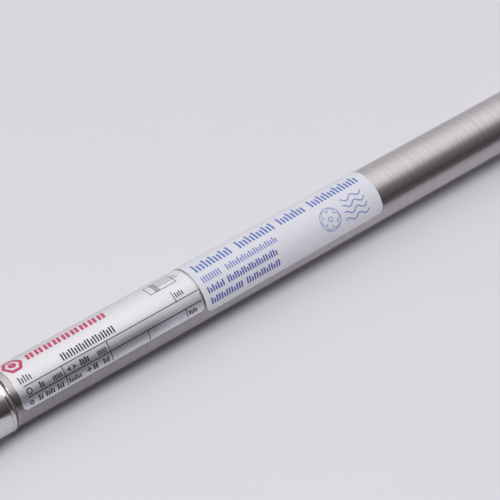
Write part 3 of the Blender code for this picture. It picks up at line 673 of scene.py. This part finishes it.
outside = [
    (LIP_START + LIP_EDGE, LIP_OUTER), (LIP_START, LIP_OUTER - LIP_EDGE / 2),
    (LIP_START, LIP_GROOVE_FLOOR), (LIP_START - LIP_GROOVE, LIP_GROOVE_FLOOR),
    (LIP_START - LIP_GROOVE, SKIRT_OUTER), (BODY_LENGTH + SKIRT_STEP, SKIRT_OUTER),
    (BODY_LENGTH - EDGE, BODY_RADIUS - EDGE / 2), (BODY_LENGTH - 2 * EDGE, BODY_RADIUS),
    (EDGE, BODY_RADIUS), (0, BODY_RADIUS - EDGE),
]
cover_profile = pocket + spigot + lip + outside
print("a cover's profile has", len(cover_profile), "corners before its boss")

# %% Threaded boss
BOSS_RADIUS = 8.0
BOSS_CHAMFER = 1.0
# Major radius, pitch and depth.
BOSS_THREAD = (BOSS_RADIUS, 1.5, 0.92)
SEAT_RADIUS = 8.3
SEAT_RECESS = 0.2
RELIEF_FLOOR = 7.0
RELIEF_END = 1.5
CREST_START = 2.0
THREAD_START = 1.4
THREAD_STEP = 0.12
COVER_SOFTNESS = 0.12
PAST_END = 1.0
NOSE_LENGTH = 17.0
REAR_END = -19.0


def boss(length):
    """Boss behind the shoulder: recess, undercut, thread diameter and end chamfer."""
    return [
        (0, SEAT_RADIUS), (SEAT_RECESS, SEAT_RADIUS), (SEAT_RECESS, RELIEF_FLOOR),
        (-RELIEF_END, RELIEF_FLOOR), (-CREST_START, BOSS_RADIUS),
        (-length + BOSS_CHAMFER, BOSS_RADIUS), (-length, BOSS_RADIUS - BOSS_CHAMFER),
    ]


# %% Holes in a cover
PORT_STATION = 5.0
PORT_DRILL = 2.1
PORT_THREAD = (4.6, 9.2)
PORT_THREAD_BORE = 2.5
# Major radius, pitch and depth.
PORT_SCREW = (2.9, 0.8, 0.8)
PORT_STEP = 0.1
PORT_MOUTH = (8.9, 2.8)
PORT_SEAT_RADIUS = 3.8
SCREW_STATION = 4.7
NEEDLE_SEAT = (5.6, 0.8)
SCREW_BORE = 1.75
SCREW_MOUTH = (9.6, 3.15)
CHANNEL_RADIUS = 0.5
CHANNEL_OFFSET = -5.9
OUTSIDE = 11.0


def drilled(cover, shoulder, side):
    """Drill the threaded air port, the needle bore and the air channel of a cover."""
    start, end = PORT_THREAD
    port = [(0, 0), (0, PORT_DRILL), (start, PORT_DRILL), (start, PORT_THREAD_BORE),
            (PORT_MOUTH[0], PORT_THREAD_BORE), (end, PORT_MOUTH[1]), (end, PORT_SEAT_RADIUS),
            (OUTSIDE, PORT_SEAT_RADIUS), (OUTSIDE, 0)]
    port = dense(np.array(port), start, end, PORT_STEP)
    at = (shoulder + side * PORT_STATION, 0, 0)
    tap = screw_thread(start, end, *PORT_SCREW)
    milled(cover, turned("port_cutter", port, HOLE_ROUND, UPWARD, at, tap))
    depth, bore = NEEDLE_SEAT
    needle = [(0, 0), (0, bore), (depth, bore), (depth, SCREW_BORE), (SCREW_MOUTH[0], SCREW_BORE),
              (OUTSIDE, SCREW_MOUTH[1]), (OUTSIDE, 0)]
    at = (shoulder + side * SCREW_STATION, 0, 0)
    milled(cover, turned("needle_cutter", needle, HOLE_ROUND, SIDEWAYS, at))
    low, high = sorted((side * SCREW_STATION, side * (SPIGOT_END + PAST_END)))
    channel = [(low, 0), (low, CHANNEL_RADIUS), (high, CHANNEL_RADIUS), (high, 0)]
    at = (shoulder, CHANNEL_OFFSET, 0)
    return milled(cover, turned("channel_cutter", channel, CHANNEL_ROUND, ALONG, at))


# %% Rear cover
rear_profile = [(FACE_WALL, 0), *cover_profile, *boss(-REAR_END), (REAR_END, 0)]
rear_profile = softened(rear_profile, COVER_SOFTNESS, closed=False)
rear_profile = dense(rear_profile, REAR_END, -THREAD_START, THREAD_STEP)
boss_thread = screw_thread(REAR_END - PAST_END, -THREAD_START, *BOSS_THREAD)
rear = turned("rear_end_cover", rear_profile, COVER_ROUND, thread=boss_thread)
drilled(rear, 0.0, 1)

# %% Tongue and eye of the rear cover
EYE_STATION = -10.0
EYE_RADIUS = 3.0
EYE_FLARE = 0.8
TONGUE_ROUND = 9.0
TONGUE_HALF = 6.0
TONGUE_ROOT = -5.0
FLATS_END = -3.0
FLATS_BEYOND = 12.0
KEEPER_END = 18.0

# In side view a half circle round the eye is kept, and all that lies past its root.
angle = np.linspace(np.pi / 2, 3 * np.pi / 2, 65)
bend = np.stack([EYE_STATION + TONGUE_ROUND * np.cos(angle), TONGUE_ROUND * np.sin(angle)], -1)
ends = [(KEEPER_END, OUTSIDE), (TONGUE_ROOT, OUTSIDE)]
outline = np.concatenate([ends, bend, [(x, -z) for x, z in reversed(ends)]])
milled(rear, prism("tongue_keeper", outline, -OUTSIDE, OUTSIDE), "INTERSECT")
flattened(rear, REAR_END - PAST_END, FLATS_END, TONGUE_HALF, FLATS_BEYOND)
flared = (TONGUE_HALF + EYE_FLARE / 2, EYE_RADIUS + EYE_FLARE)
straight = (TONGUE_HALF - EYE_FLARE / 2, EYE_RADIUS)
eye = [(-flared[0], 0), (-flared[0], flared[1]), (-straight[0], EYE_RADIUS), straight, flared, (flared[0], 0)]
milled(rear, turned("eye_cutter", eye, ROD_ROUND, SIDEWAYS, (EYE_STATION, 0, 0)))
fit(rear, "housing", "cover_aluminium", cover_metal, "rear_cover")

# %% Front cover
NOSE_MOUTH = 4.6
NOSE_CHAMFER = 0.2
WIPER_ROOM = (11.7, 16.2)
WIPER_ROOM_RADIUS = 5.05
BUSH_RADIUS = 4.03

nose_bore = [
    (-NOSE_LENGTH, NOSE_MOUTH + NOSE_CHAMFER), (-NOSE_LENGTH + NOSE_CHAMFER, NOSE_MOUTH),
    (-WIPER_ROOM[1], NOSE_MOUTH), (-WIPER_ROOM[1], WIPER_ROOM_RADIUS),
    (-WIPER_ROOM[0], WIPER_ROOM_RADIUS), (-WIPER_ROOM[0], BUSH_RADIUS), (FACE_WALL, BUSH_RADIUS),
]
front_profile = mirrored([*cover_profile, *boss(NOSE_LENGTH), *nose_bore])
nose_start, nose_end = COVER_SPAN + THREAD_START, COVER_SPAN + NOSE_LENGTH
front_profile = dense(softened(front_profile, COVER_SOFTNESS), nose_start, nose_end, THREAD_STEP)
nose_thread = screw_thread(nose_start, nose_end + PAST_END, *BOSS_THREAD)
front = turned("front_end_cover", front_profile, COVER_ROUND, thread=nose_thread)
drilled(front, COVER_SPAN, -1)
fit(front, "housing", "cover_aluminium", cover_metal, "front_cover")

# %% Dark bead beside each lip
# A thin dark grey ring lies in the corner between each cover's lip and the tube.
bead_profile = [(16.1, 8.5), (16.1, 8.95), (16.4, 8.9), (16.7, 8.72), (17.08, 8.67), (17.08, 8.5)]
for end, profile in (("rear", bead_profile), ("front", mirrored(bead_profile))):
    bead = turned(end + "_crimp_bead", softened(profile, reach=0.08), COVER_ROUND)
    fit(bead, "housing", "seal_rubber", dark_bead_grey)

# %% [markdown]
# ## Nuts
# A nut is a hexagon bar with both faces turned to a cone, so each flat ends in a curved
# edge.  A Boolean of a prism and a cone would give it.  Here the side is one surface in
# which the cone starts where it meets the hexagon, so the curved edge is exact.

# %% Hexagon nuts
NUT_FACE = 0.475
NUT_CORNER = 1.145
NUT_CONE = math.tan(math.radians(30))
BORE_FLARE = 0.06
NUT_SHARP = 20.0
WORN_WIDTH = 0.006


def hexagon_nut(name, flats, thickness, bore, station):
    """A nut with one flat down.

    The side's radius is half the flats over the cosine of the angle from the nearest
    flat.  The cone meets it where the drop is the overhang times tan 30 degrees.
    """
    angle = np.linspace(0, 2 * np.pi, COVER_ROUND, endpoint=False)
    off = np.mod(angle, np.pi / 3) - np.pi / 6
    reach = np.minimum(flats / 2 / np.cos(off), flats / 2 * NUT_CORNER)
    face = np.full_like(angle, NUT_FACE * flats)
    drop = np.maximum(reach - face, 0) * NUT_CONE
    flare, full, zero = BORE_FLARE * bore, np.full_like(angle, bore), np.zeros_like(angle)
    rows = [(zero, full + flare), (zero, face), (drop, reach), (thickness - drop, reach),
            (zero + thickness, face), (zero + thickness, full + flare),
            (zero + thickness - flare, full), (zero + flare, full)]
    x = np.stack([row[0] for row in rows]) + station
    r = np.stack([row[1] for row in rows])
    points = placed(np.stack([x, -r * np.cos(angle), r * np.sin(angle)], -1))
    nut = welded(mesh_object(name, points, grid_faces(*x.shape, True, True)), NUT_SHARP)
    soft = nut.modifiers.new("worn_edges", "BEVEL")
    soft.width = WORN_WIDTH * flats * MM
    soft.segments = 2
    soft.limit_method = "ANGLE"
    soft.angle_limit = math.radians(25.0)
    return nut


big_nut = hexagon_nut("nose_hex_nut", 24.0, thickness=8.0, bore=8.08, station=258.2)
fit(big_nut, "housing", "zinc_steel", zinc_steel, "nose_nut")
small_nut = hexagon_nut("rod_hex_nut", 10.0, thickness=3.2, bore=3.08, station=276.0)
fit(small_nut, "rod_and_piston", "zinc_steel", zinc_steel, "rod_nut")

# %% [markdown]
# ## Piston rod, wiper and cushion screws
# The rod is a polished bar with a threaded end and two flats for a wrench.  The wiper is
# the rubber lip that closes the nose round it.  The cushion screws are small slotted
# screws that set how fast air leaves the covers.

# %% Piston rod
ROD_SHOULDER = 272.0
ROD_END = 288.0
ROD_RADIUS = 3.0
STUB_START = 5.4
STUB_END = 34.75
STUB_RADIUS = 2.5
ROD_CHAMFER = 0.5
ROD_RELIEF = (273.2, 2.4)
ROD_CREST_START = 273.8
ROD_THREAD_START = 273.1
# Major radius, pitch and depth.
ROD_THREAD = (ROD_RADIUS, 1.0, 0.6)
ROD_STEP = 0.1
WRENCH_FLATS = (267.9, 271.4)
WRENCH_HALF = 2.5

rod_profile = [
    (STUB_START, 0), (STUB_START, STUB_RADIUS - ROD_CHAMFER), (STUB_START + ROD_CHAMFER, STUB_RADIUS),
    (STUB_END, STUB_RADIUS), (STUB_END, ROD_RADIUS), (ROD_SHOULDER - ROD_CHAMFER / 2, ROD_RADIUS),
    (ROD_SHOULDER, ROD_RADIUS - ROD_CHAMFER / 2), (ROD_SHOULDER, ROD_RELIEF[1]), ROD_RELIEF,
    (ROD_CREST_START, ROD_RADIUS), (ROD_END - ROD_CHAMFER, ROD_RADIUS),
    (ROD_END, ROD_RADIUS - ROD_CHAMFER), (ROD_END, 0),
]
rod_profile = softened(rod_profile, FINE_SOFTNESS, closed=False)
rod_profile = dense(rod_profile, ROD_THREAD_START, ROD_END, ROD_STEP)
rod_thread = screw_thread(ROD_THREAD_START, ROD_END, *ROD_THREAD)
rod = turned("polished_rod", rod_profile, ROD_ROUND, thread=rod_thread)
flattened(rod, *WRENCH_FLATS, WRENCH_HALF, 2 * WRENCH_HALF)
fit(rod, "rod_and_piston", "rod_steel", rod_steel, "piston_rod")

# %% Wiper
WIPER_STATION = 261.75
wiper_profile = [
    (0, 3.08), (0, 3.58), (1.54, 3.98), (1.54, 4.5), (0, 4.69), (0, 5.0), (4.4, 5.0), (4.4, 4.5),
    (5.6, 3.39), (5.6, 3.08), (3.3, 3.43), (1.98, 3.43),
]
wiper = turned("rod_wiper", softened(wiper_profile, reach=0.1), ROD_ROUND, at=(WIPER_STATION, 0, 0))
fit(wiper, "housing", "seal_rubber", seal_rubber, "rod_wiper_seal")

# %% Cushion screws
SLOT_HALF = 0.3
SLOT_DEPTHS = (-9.6, -8.2)
SLOT_REACH = 3.0
screw_profile = [
    (5.2, 0), (5.2, 0.35), (6.5, 1.0), (6.5, 1.45), (6.7, 1.65), (7.2, 1.65), (7.2, 1.15),
    (7.8, 1.15), (7.8, 1.65), (8.7, 1.65), (8.9, 1.45), (8.9, 0),
]
for end, station in (("rear", SCREW_STATION), ("front", COVER_SPAN - SCREW_STATION)):
    profile = softened(screw_profile, FINE_SOFTNESS, closed=False)
    screw = turned(end + "_slotted_screw", profile, HOLE_ROUND, SIDEWAYS, (station, 0, 0))
    low = (station - SLOT_HALF, SLOT_DEPTHS[0], -SLOT_REACH)
    high = (station + SLOT_HALF, SLOT_DEPTHS[1], SLOT_REACH)
    milled(screw, block("slot", low, high))
    fit(screw, end + "_screw", "zinc_steel", zinc_steel, end + "_cushion_screw")

# %% [markdown]
# ## Label and sticker
# A silver foil label with a ruled table and, beside it, a white sticker with blue print
# are wrapped round the tube.  A flat sheet with a Shrinkwrap modifier could do it.  Here
# each sheet is computed on the tube itself: one parameter runs along it and the other
# round it, and the corners are circle arcs in both.

# %% Wrapped sheets
DEGREES_PER_MM = 6.51
SHEET_RIM = 0.12
FLAT_UNIT = 100


def on_tube(station, angle, radius):
    """A station and an angle above the horizontal on the near side, as a point."""
    turn = np.radians(angle)
    return placed(np.stack([station, -radius * np.cos(turn), radius * np.sin(turn)], -1))


def thickened(piece, thickness):
    """Give a sheet or a print its thickness, inward from its own surface."""
    solid = piece.modifiers.new("thickness", "SOLIDIFY")
    solid.thickness = thickness * MM
    solid.offset = -1.0
    return piece


def wrapped_sheet(name, start, length, low_angle, height, corner, skew, radius, thickness):
    """A sheet with round corners on the tube.

    Round the tube it rises from the low angle by its height, and along the tube it is
    cut in at both ends by the corner's circle: corner less the root of corner squared
    less the distance to the straight side squared.  Its flat map keeps each point's
    place on the sheet before it was wrapped.
    """
    bend = corner * (1 - np.cos(np.linspace(0, np.pi / 2, 11)))
    across = np.concatenate([bend[:-1], np.linspace(corner, height - corner, 81), height - bend[-2::-1]])
    reach = np.maximum(corner - np.minimum(across, height - across), 0)
    inset = corner - np.sqrt(np.maximum(corner ** 2 - reach ** 2, 0))
    rim = SHEET_RIM / length
    shares = [0, rim, *np.linspace(0.02, 0.98, 61), 1 - rim, 1]
    share, across = np.meshgrid(shares, across, indexing="ij")
    along = inset + (length - 2 * inset) * share
    turn = low_angle + across * DEGREES_PER_MM + skew * along / length
    points = on_tube(start + along, turn, radius)
    sheet = mesh_object(name, points, grid_faces(*share.shape, False, False))
    flat = sheet.data.uv_layers.new(name="flat")
    corners = np.empty(len(sheet.data.loops), int)
    sheet.data.loops.foreach_get("vertex_index", corners)
    spread = np.stack([along.ravel(), across.ravel()], -1)[corners] / FLAT_UNIT
    flat.data.foreach_set("uv", spread.ravel())
    return thickened(sheet, thickness)


# %% Foil and vinyl
LABEL = {"start": 19.25, "length": 63.05, "low_angle": 9.4, "height": 24.0, "corner": 1.4,
         "skew": 0.0, "radius": 8.78, "thickness": 0.11}
STICKER = {"start": 83.0, "length": 68.3, "low_angle": -2.0, "height": 25.0, "corner": 2.2,
           "skew": 5.0, "radius": 8.80, "thickness": 0.13}
UPPER_RULE = 50.8
SILVER = (0.905, 0.915, 1.0)
LACQUER = (0.73, 0.725, 0.75)
LACQUER_EDGE = 0.1
CLOUD_GREY = (0.5, 0.5, 0.52)
CLOUD_MOST = 0.04
# How metallic the foil is at so many millimetres up from its lower edge.
SHINE = ((0.4, 0.60), (1.6, 0.74), (2.4, 0.89), (4.2, 0.91), (5.2, 0.72), (6.26, 0.78), (6.46, 0.35))
SHINE_SPAN = 10.0
DULLING = (44.5, 53.5)
DULL_SHARE = 0.80
VINYL_DULL = (0.665, 0.668, 0.735)
VINYL_PALE = (0.700, 0.702, 0.768)


def on_sheet(graph):
    """How far along and how far up the sheet a point lies, in millimetres."""
    along, height, _ = graph.parts(graph.node("UVMap", {"uv_map": "flat"}))
    return along * FLAT_UNIT, height * FLAT_UNIT


def foil_colour(graph):
    """Bare silver below the upper rule and white lacquer above it, both a little cloudy."""
    edge = (UPPER_RULE - LABEL["low_angle"]) / DEGREES_PER_MM
    lacquer = graph.ramp(on_sheet(graph)[1], edge - LACQUER_EDGE, edge + LACQUER_EDGE)
    cloud = graph.vary(graph.noise(260), 0.0, CLOUD_MOST)
    return graph.mix(cloud, graph.mix(lacquer, SILVER, LACQUER), CLOUD_GREY)


def foil_metal(graph):
    """Less metal in the lacquer, and a duller silver toward its sides and its right end."""
    along, height = on_sheet(graph)
    stops = [(level / SHINE_SPAN, share) for level, share in SHINE]
    return graph.steps(height * (1 / SHINE_SPAN), stops) * graph.ramp(along, *DULLING, 1.0, DULL_SHARE)


def vinyl_colour(graph):
    """A cloudy white with a little blue in it."""
    return graph.mix(graph.noise(180), VINYL_DULL, VINYL_PALE)


def varying(waves, low, high, detail=3.0):
    """A value that noise carries between two levels."""
    return lambda graph: graph.vary(graph.noise(waves, detail), low, high)


def bumpy(waves, distance):
    """A surface that noise lifts by up to a distance in metres."""
    return lambda graph: graph.bump(graph.noise(waves, 2.0), distance)


label_foil = finish("silver_foil", foil_colour, varying(900, 0.277, 0.29), foil_metal, bumpy(420, 8e-7))
sticker_vinyl = finish("white_vinyl", vinyl_colour, varying(1100, 0.36, 0.46), 0.0, bumpy(420, 6e-6))

# %% Both sheets
label = wrapped_sheet("foil_label", **LABEL)
fit(label, "housing", "label_foil", label_foil, "data_label")
sticker = wrapped_sheet("vinyl_sticker", **STICKER)
fit(sticker, "housing", "sticker_vinyl", sticker_vinyl, "white_sticker")

# %% [markdown]
# ## Print
# The print on both sheets is plain strokes, blocks and a simple pattern.  It could be
# painted in the material, but thin pieces of ink keep crisp edges at any size.  Places
# on a sheet are given as a station and as degrees up from the horizontal.

# %% Bars, strokes and bands
COLUMN_LENGTH = 4
ROW_TURN = 3


def bar(start, end, low, high, lean_by=0.0):
    """A filled box between two stations and two angles, its top pushed along the tube."""
    columns = max(2, math.ceil((end - start) / COLUMN_LENGTH) + 1)
    rows = max(2, math.ceil((high - low) / ROW_TURN) + 1)
    along, share = np.meshgrid(np.linspace(start, end, columns), np.linspace(0, 1, rows), indexing="ij")
    return np.stack([along + lean_by * share, low + (high - low) * share], -1)


def strokes(start, end, low, high, pitch, width, pattern):
    """Upright strokes in a row.  The pattern gives each one's height as a share."""
    count = int((end - start - width) / pitch) + 1
    marks = []
    for number in range(count):
        share = pattern[number % len(pattern)]
        if share:
            left = start + number * pitch
            marks.append(bar(left, left + width, low, low + (high - low) * share))
    return marks


def written(rows):
    """The strokes of several rows, each a start, end, low, high, pitch, width and pattern."""
    return [mark for row in rows for mark in strokes(*row)]


def band(path, width, closed=False):
    """A line of even width along a path of (station, angle) points.

    Each point gets two, half the width to either side, square to the path's direction.
    """
    flat = np.array(path, float) / (1, DEGREES_PER_MM)
    if closed:
        ahead = np.roll(flat, -1, 0) - np.roll(flat, 1, 0)
    else:
        ahead = np.gradient(flat, axis=0)
    square = np.stack([-ahead[:, 1], ahead[:, 0]], -1)
    square *= width / 2 / np.linalg.norm(square, axis=1, keepdims=True)
    sides = np.stack([flat + square, flat - square], 1) * (1, DEGREES_PER_MM)
    return np.concatenate([sides, sides[:1]]) if closed else sides


# %% Paths and filled shapes
def round_path(station, angle, radius, sides=48, start=0.0, sweep=360.0):
    """Points of a circle, arc or polygon on the sheet, the radius in millimetres."""
    closed = sweep >= 360
    turn = np.radians(start + np.linspace(0, sweep, sides, endpoint=not closed))
    return np.stack([station + radius * np.cos(turn),
                     angle + radius * DEGREES_PER_MM * np.sin(turn)], -1)


def finer(path, pieces=6):
    """A closed path with each of its sides cut in equal pieces."""
    share = np.linspace(0, 1, pieces, endpoint=False)[:, None]
    return np.concatenate([a + (b - a) * share for a, b in zip(path, np.roll(path, -1, 0))])


def filled(path, station, angle):
    """A filled shape between a closed path and its middle."""
    rim = np.concatenate([path, path[:1]])
    return np.stack([rim, np.broadcast_to((station, angle), rim.shape)], 1)


# %% Ink on a sheet
INK_WAVES = 1500
INK_PALER = 0.03
INK_GLOSS = 0.06
INK_RISE = 0.016
INK_THICKNESS = 0.012


def ink(name, colour, roughness=0.4):
    """Printing ink, a little uneven in tone."""
    pale = tuple(part + (1 - part) * INK_PALER for part in colour)

    def tone(graph):
        return graph.mix(graph.noise(INK_WAVES, 2.0), colour, pale)

    return finish(name, tone, varying(INK_WAVES, roughness - INK_GLOSS, roughness + INK_GLOSS, 2.0))


def outward_faces(piece):
    """Turn over each face that looks at the tube's axis."""
    mesh = bmesh.new()
    mesh.from_mesh(piece.data)
    axis = AXIS_HEIGHT * MM
    inward = [face for face in mesh.faces
              if face.normal.y * face.calc_center_median().y
              + face.normal.z * (face.calc_center_median().z - axis) < 0]
    bmesh.ops.reverse_faces(mesh, faces=inward)
    mesh.to_mesh(piece.data)
    mesh.free()


def printed(name, marks, sheet, colour, slot):
    """One thin piece of ink out of all the marks of one colour, as askew as its sheet."""
    points, faces, count = [], [], 0
    for mark in marks:
        station, angle = mark[..., 0], mark[..., 1]
        turn = angle + sheet["skew"] * (station - sheet["start"]) / sheet["length"]
        points.append(on_tube(station, turn, sheet["radius"] + INK_RISE).reshape(-1, 3))
        faces.append(grid_faces(*station.shape, False, False) + count)
        count += station.size
    piece = welded(mesh_object(name, np.concatenate(points), np.concatenate(faces)))
    outward_faces(piece)
    piece.data.shade_flat()
    fit(thickened(piece, INK_THICKNESS), "housing", slot, colour)


# %% Rules of the table on the foil label
dark_ink = ink("dark_ink", (0.012, 0.010, 0.020), 0.6)
RULE_WIDTH = 0.27
RULE_TURN = RULE_WIDTH * DEGREES_PER_MM
LOWER_RULE = 29.9
LOWER_RULE_TURN = 1.3 * RULE_TURN
TABLE_START = 21.5

rules = [bar(TABLE_START, 82.1, UPPER_RULE, UPPER_RULE + RULE_TURN),
         bar(TABLE_START, 81.9, LOWER_RULE, LOWER_RULE + LOWER_RULE_TURN)]
for station, low, high in ((34.0, 12.7, UPPER_RULE), (49.35, 12.7, UPPER_RULE), (62.4, 10.5, LOWER_RULE),
                           (76.0, 12.7, LOWER_RULE), (74.4, 52.5, 73.0)):
    rules.append(bar(station, station + RULE_WIDTH, low, high))
print("table has", len(rules), "rules")

# %% Strokes on the foil label
FULL = (1.0,)
TALL = (1.0, 0.72, 1.0, 0.86, 0.72)
EVEN = (1.0, 0.8)

words = written((
    (21.25, 25.5, 57.5, 72.0, 0.85, 0.38, TALL),
    (35.6, 54.3, 57.5, 72.5, 0.92, 0.48, (1.0, 1.0, 0.8)),
    (75.2, 78.4, 58.0, 69.0, 0.75, 0.36, EVEN),
    (26.0, 27.9, 34.5, 46.5, 0.80, 0.56, EVEN),
    (30.4, 33.4, 34.5, 43.5, 0.64, 0.42, FULL),
    (39.6, 42.8, 34.5, 46.5, 0.80, 0.58, (1.0, 0.85)),
    (45.5, 48.6, 34.5, 43.5, 0.64, 0.42, FULL),
    (24.5, 33.2, 14.5, 25.5, 0.78, 0.50, (1.0, 0.75, 0.0, 1.0, 0.75)),
    (34.7, 39.3, 14.5, 25.0, 0.72, 0.46, (1.0, 0.7, 0.7)),
    (43.0, 44.6, 14.5, 25.5, 0.80, 0.56, FULL),
    (46.4, 48.4, 14.5, 25.5, 0.74, 0.48, (1.0, 0.7)),
    (76.8, 79.8, 16.0, 25.0, 0.76, 0.50, EVEN)))
print("strokes on the label:", len(words))

# %% Small signs on the foil label
SIGN_LINE = 0.36
SIGN_TURN = 40.3
ARROW_TIP = 0.8
ARROW_BACK = 0.6
ARROW_TURN = 5.0
BOX = (69.3, 78.5)
BOX_TURNS = (87.6, 115.2)
BOX_LINE = 0.2
BOX_LINE_TURN = 1.3
OUTLETS = (99.0, 105.8)
OUTLET_TURN = 1.2

signs = [band(round_path(22.6, SIGN_TURN, 0.78), SIGN_LINE, closed=True),
         band(round_path(22.1, 19.5, 0.5), SIGN_LINE, closed=True),
         bar(40.7, 42.4, 19.0, 21.4), bar(41.37, 41.73, 15.0, 25.2)]
for middle, way in ((35.9, -1), (37.6, 1)):
    back = middle - way * ARROW_BACK
    arrow = np.array([(middle + way * ARROW_TIP, SIGN_TURN), (back, SIGN_TURN + ARROW_TURN),
                      (back, SIGN_TURN - ARROW_TURN)])
    signs.append(filled(arrow, middle, SIGN_TURN))
for low in (BOX_TURNS[0], BOX_TURNS[1] - BOX_LINE_TURN):
    signs.append(bar(*BOX, low, low + BOX_LINE_TURN))
for left in (BOX[0], BOX[1] - BOX_LINE):
    signs.append(bar(left, left + BOX_LINE, *BOX_TURNS))
signs += strokes(71.4, 72.9, 89.2, 113.6, 0.42, BOX_LINE, FULL)
for low in OUTLETS:
    signs.append(bar(72.9, 80.2, low, low + OUTLET_TURN))
printed("dark_print", rules + words + signs, LABEL, dark_ink, "label_foil")

# %% Red emblem and blocks on the foil label
red_ink = ink("red_ink", (0.50, 0.035, 0.125))
EMBLEM = (23.0, 102.5)
BLOCK_STARTS = 27.5 + 3.06 * np.arange(9)
BLOCK_PAIR = (0.0, 1.38)
BLOCK_WIDTH = 0.95
BLOCK_TURNS = (95.0, 112.4)

emblem = [band(finer(round_path(*EMBLEM, 2.75, sides=6)), 1.0, closed=True),
          band(round_path(*EMBLEM, 0.64), 1.1, closed=True)]
blocks = [bar(left, left + BLOCK_WIDTH, *BLOCK_TURNS, lean_by=0.5)
          for left in np.add.outer(BLOCK_STARTS, BLOCK_PAIR).ravel()]
printed("red_print", emblem + blocks, LABEL, red_ink, "label_foil")

# %% Blue print on the sticker
azure_ink = ink("azure_ink", (0.095, 0.165, 0.47))
blue_ink = ink("blue_ink", (0.085, 0.10, 0.40))

tall_words = ((85.25, 99.5), (101.6, 115.3), (117.4, 127.5), (129.6, 148.4))
heading = written((*word, 81.3, 104.5, 1.28, 0.70, (1.0, 0.72, 0.72, 1.0, 0.72)) for word in tall_words)
lines = written((
    (85.0, 96.8, 12.0, 25.5, 0.92, 0.58, (1.0, 0.7, 1.0, 1.0)),
    (98.2, 111.5, 12.0, 25.5, 0.92, 0.58, (1.0, 1.0, 0.7)),
    (85.0, 91.0, 34.0, 47.0, 0.9, 0.56, (1.0, 0.7)),
    (92.4, 111.5, 34.0, 47.0, 0.9, 0.56, (1.0, 1.0, 0.7))))
printed("azure_print", heading, STICKER, azure_ink, "sticker_vinyl")
printed("blue_print", lines, STICKER, blue_ink, "sticker_vinyl")

# %% A plain fan and streams of air on the sticker
pale_ink = ink("pale_blue_ink", (0.17, 0.20, 0.52))
FAN = (132.2, 42.0)
FAN_LINE = 0.24
STREAM_TURNS = (22.0, 35.5, 49.0, 62.5)
STREAM_START = 137.2
STREAM_END = 146.4
STREAM_STAGGER = 0.4
STREAM_LINE = 0.36
WAVE_START = 137
WAVE_HEIGHT = 4.0
WAVE_RATE = 1.4

pale_lines = written((
    (85.0, 92.4, 56.0, 69.0, 0.88, 0.46, FULL),
    (93.9, 113.2, 56.0, 69.0, 0.88, 0.46, TALL)))
fan = [band(round_path(*FAN, radius), FAN_LINE, closed=True) for radius in (3.6, 0.7)]
for start in range(0, 360, 60):
    middle = round_path(*FAN, 2.1, sides=6, start=start)[0]
    fan.append(band(round_path(*middle, 1.15, sides=14, start=start - 110, sweep=220), 0.2))
streams = []
for number, angle in enumerate(STREAM_TURNS):
    station = np.linspace(STREAM_START + STREAM_STAGGER * number, STREAM_END, 40)
    wave = angle + WAVE_HEIGHT * np.sin((station - WAVE_START) * WAVE_RATE)
    streams.append(band(np.stack([station, wave], -1), STREAM_LINE))
printed("pale_blue_print", pale_lines + fan + streams, STICKER, pale_ink, "sticker_vinyl")
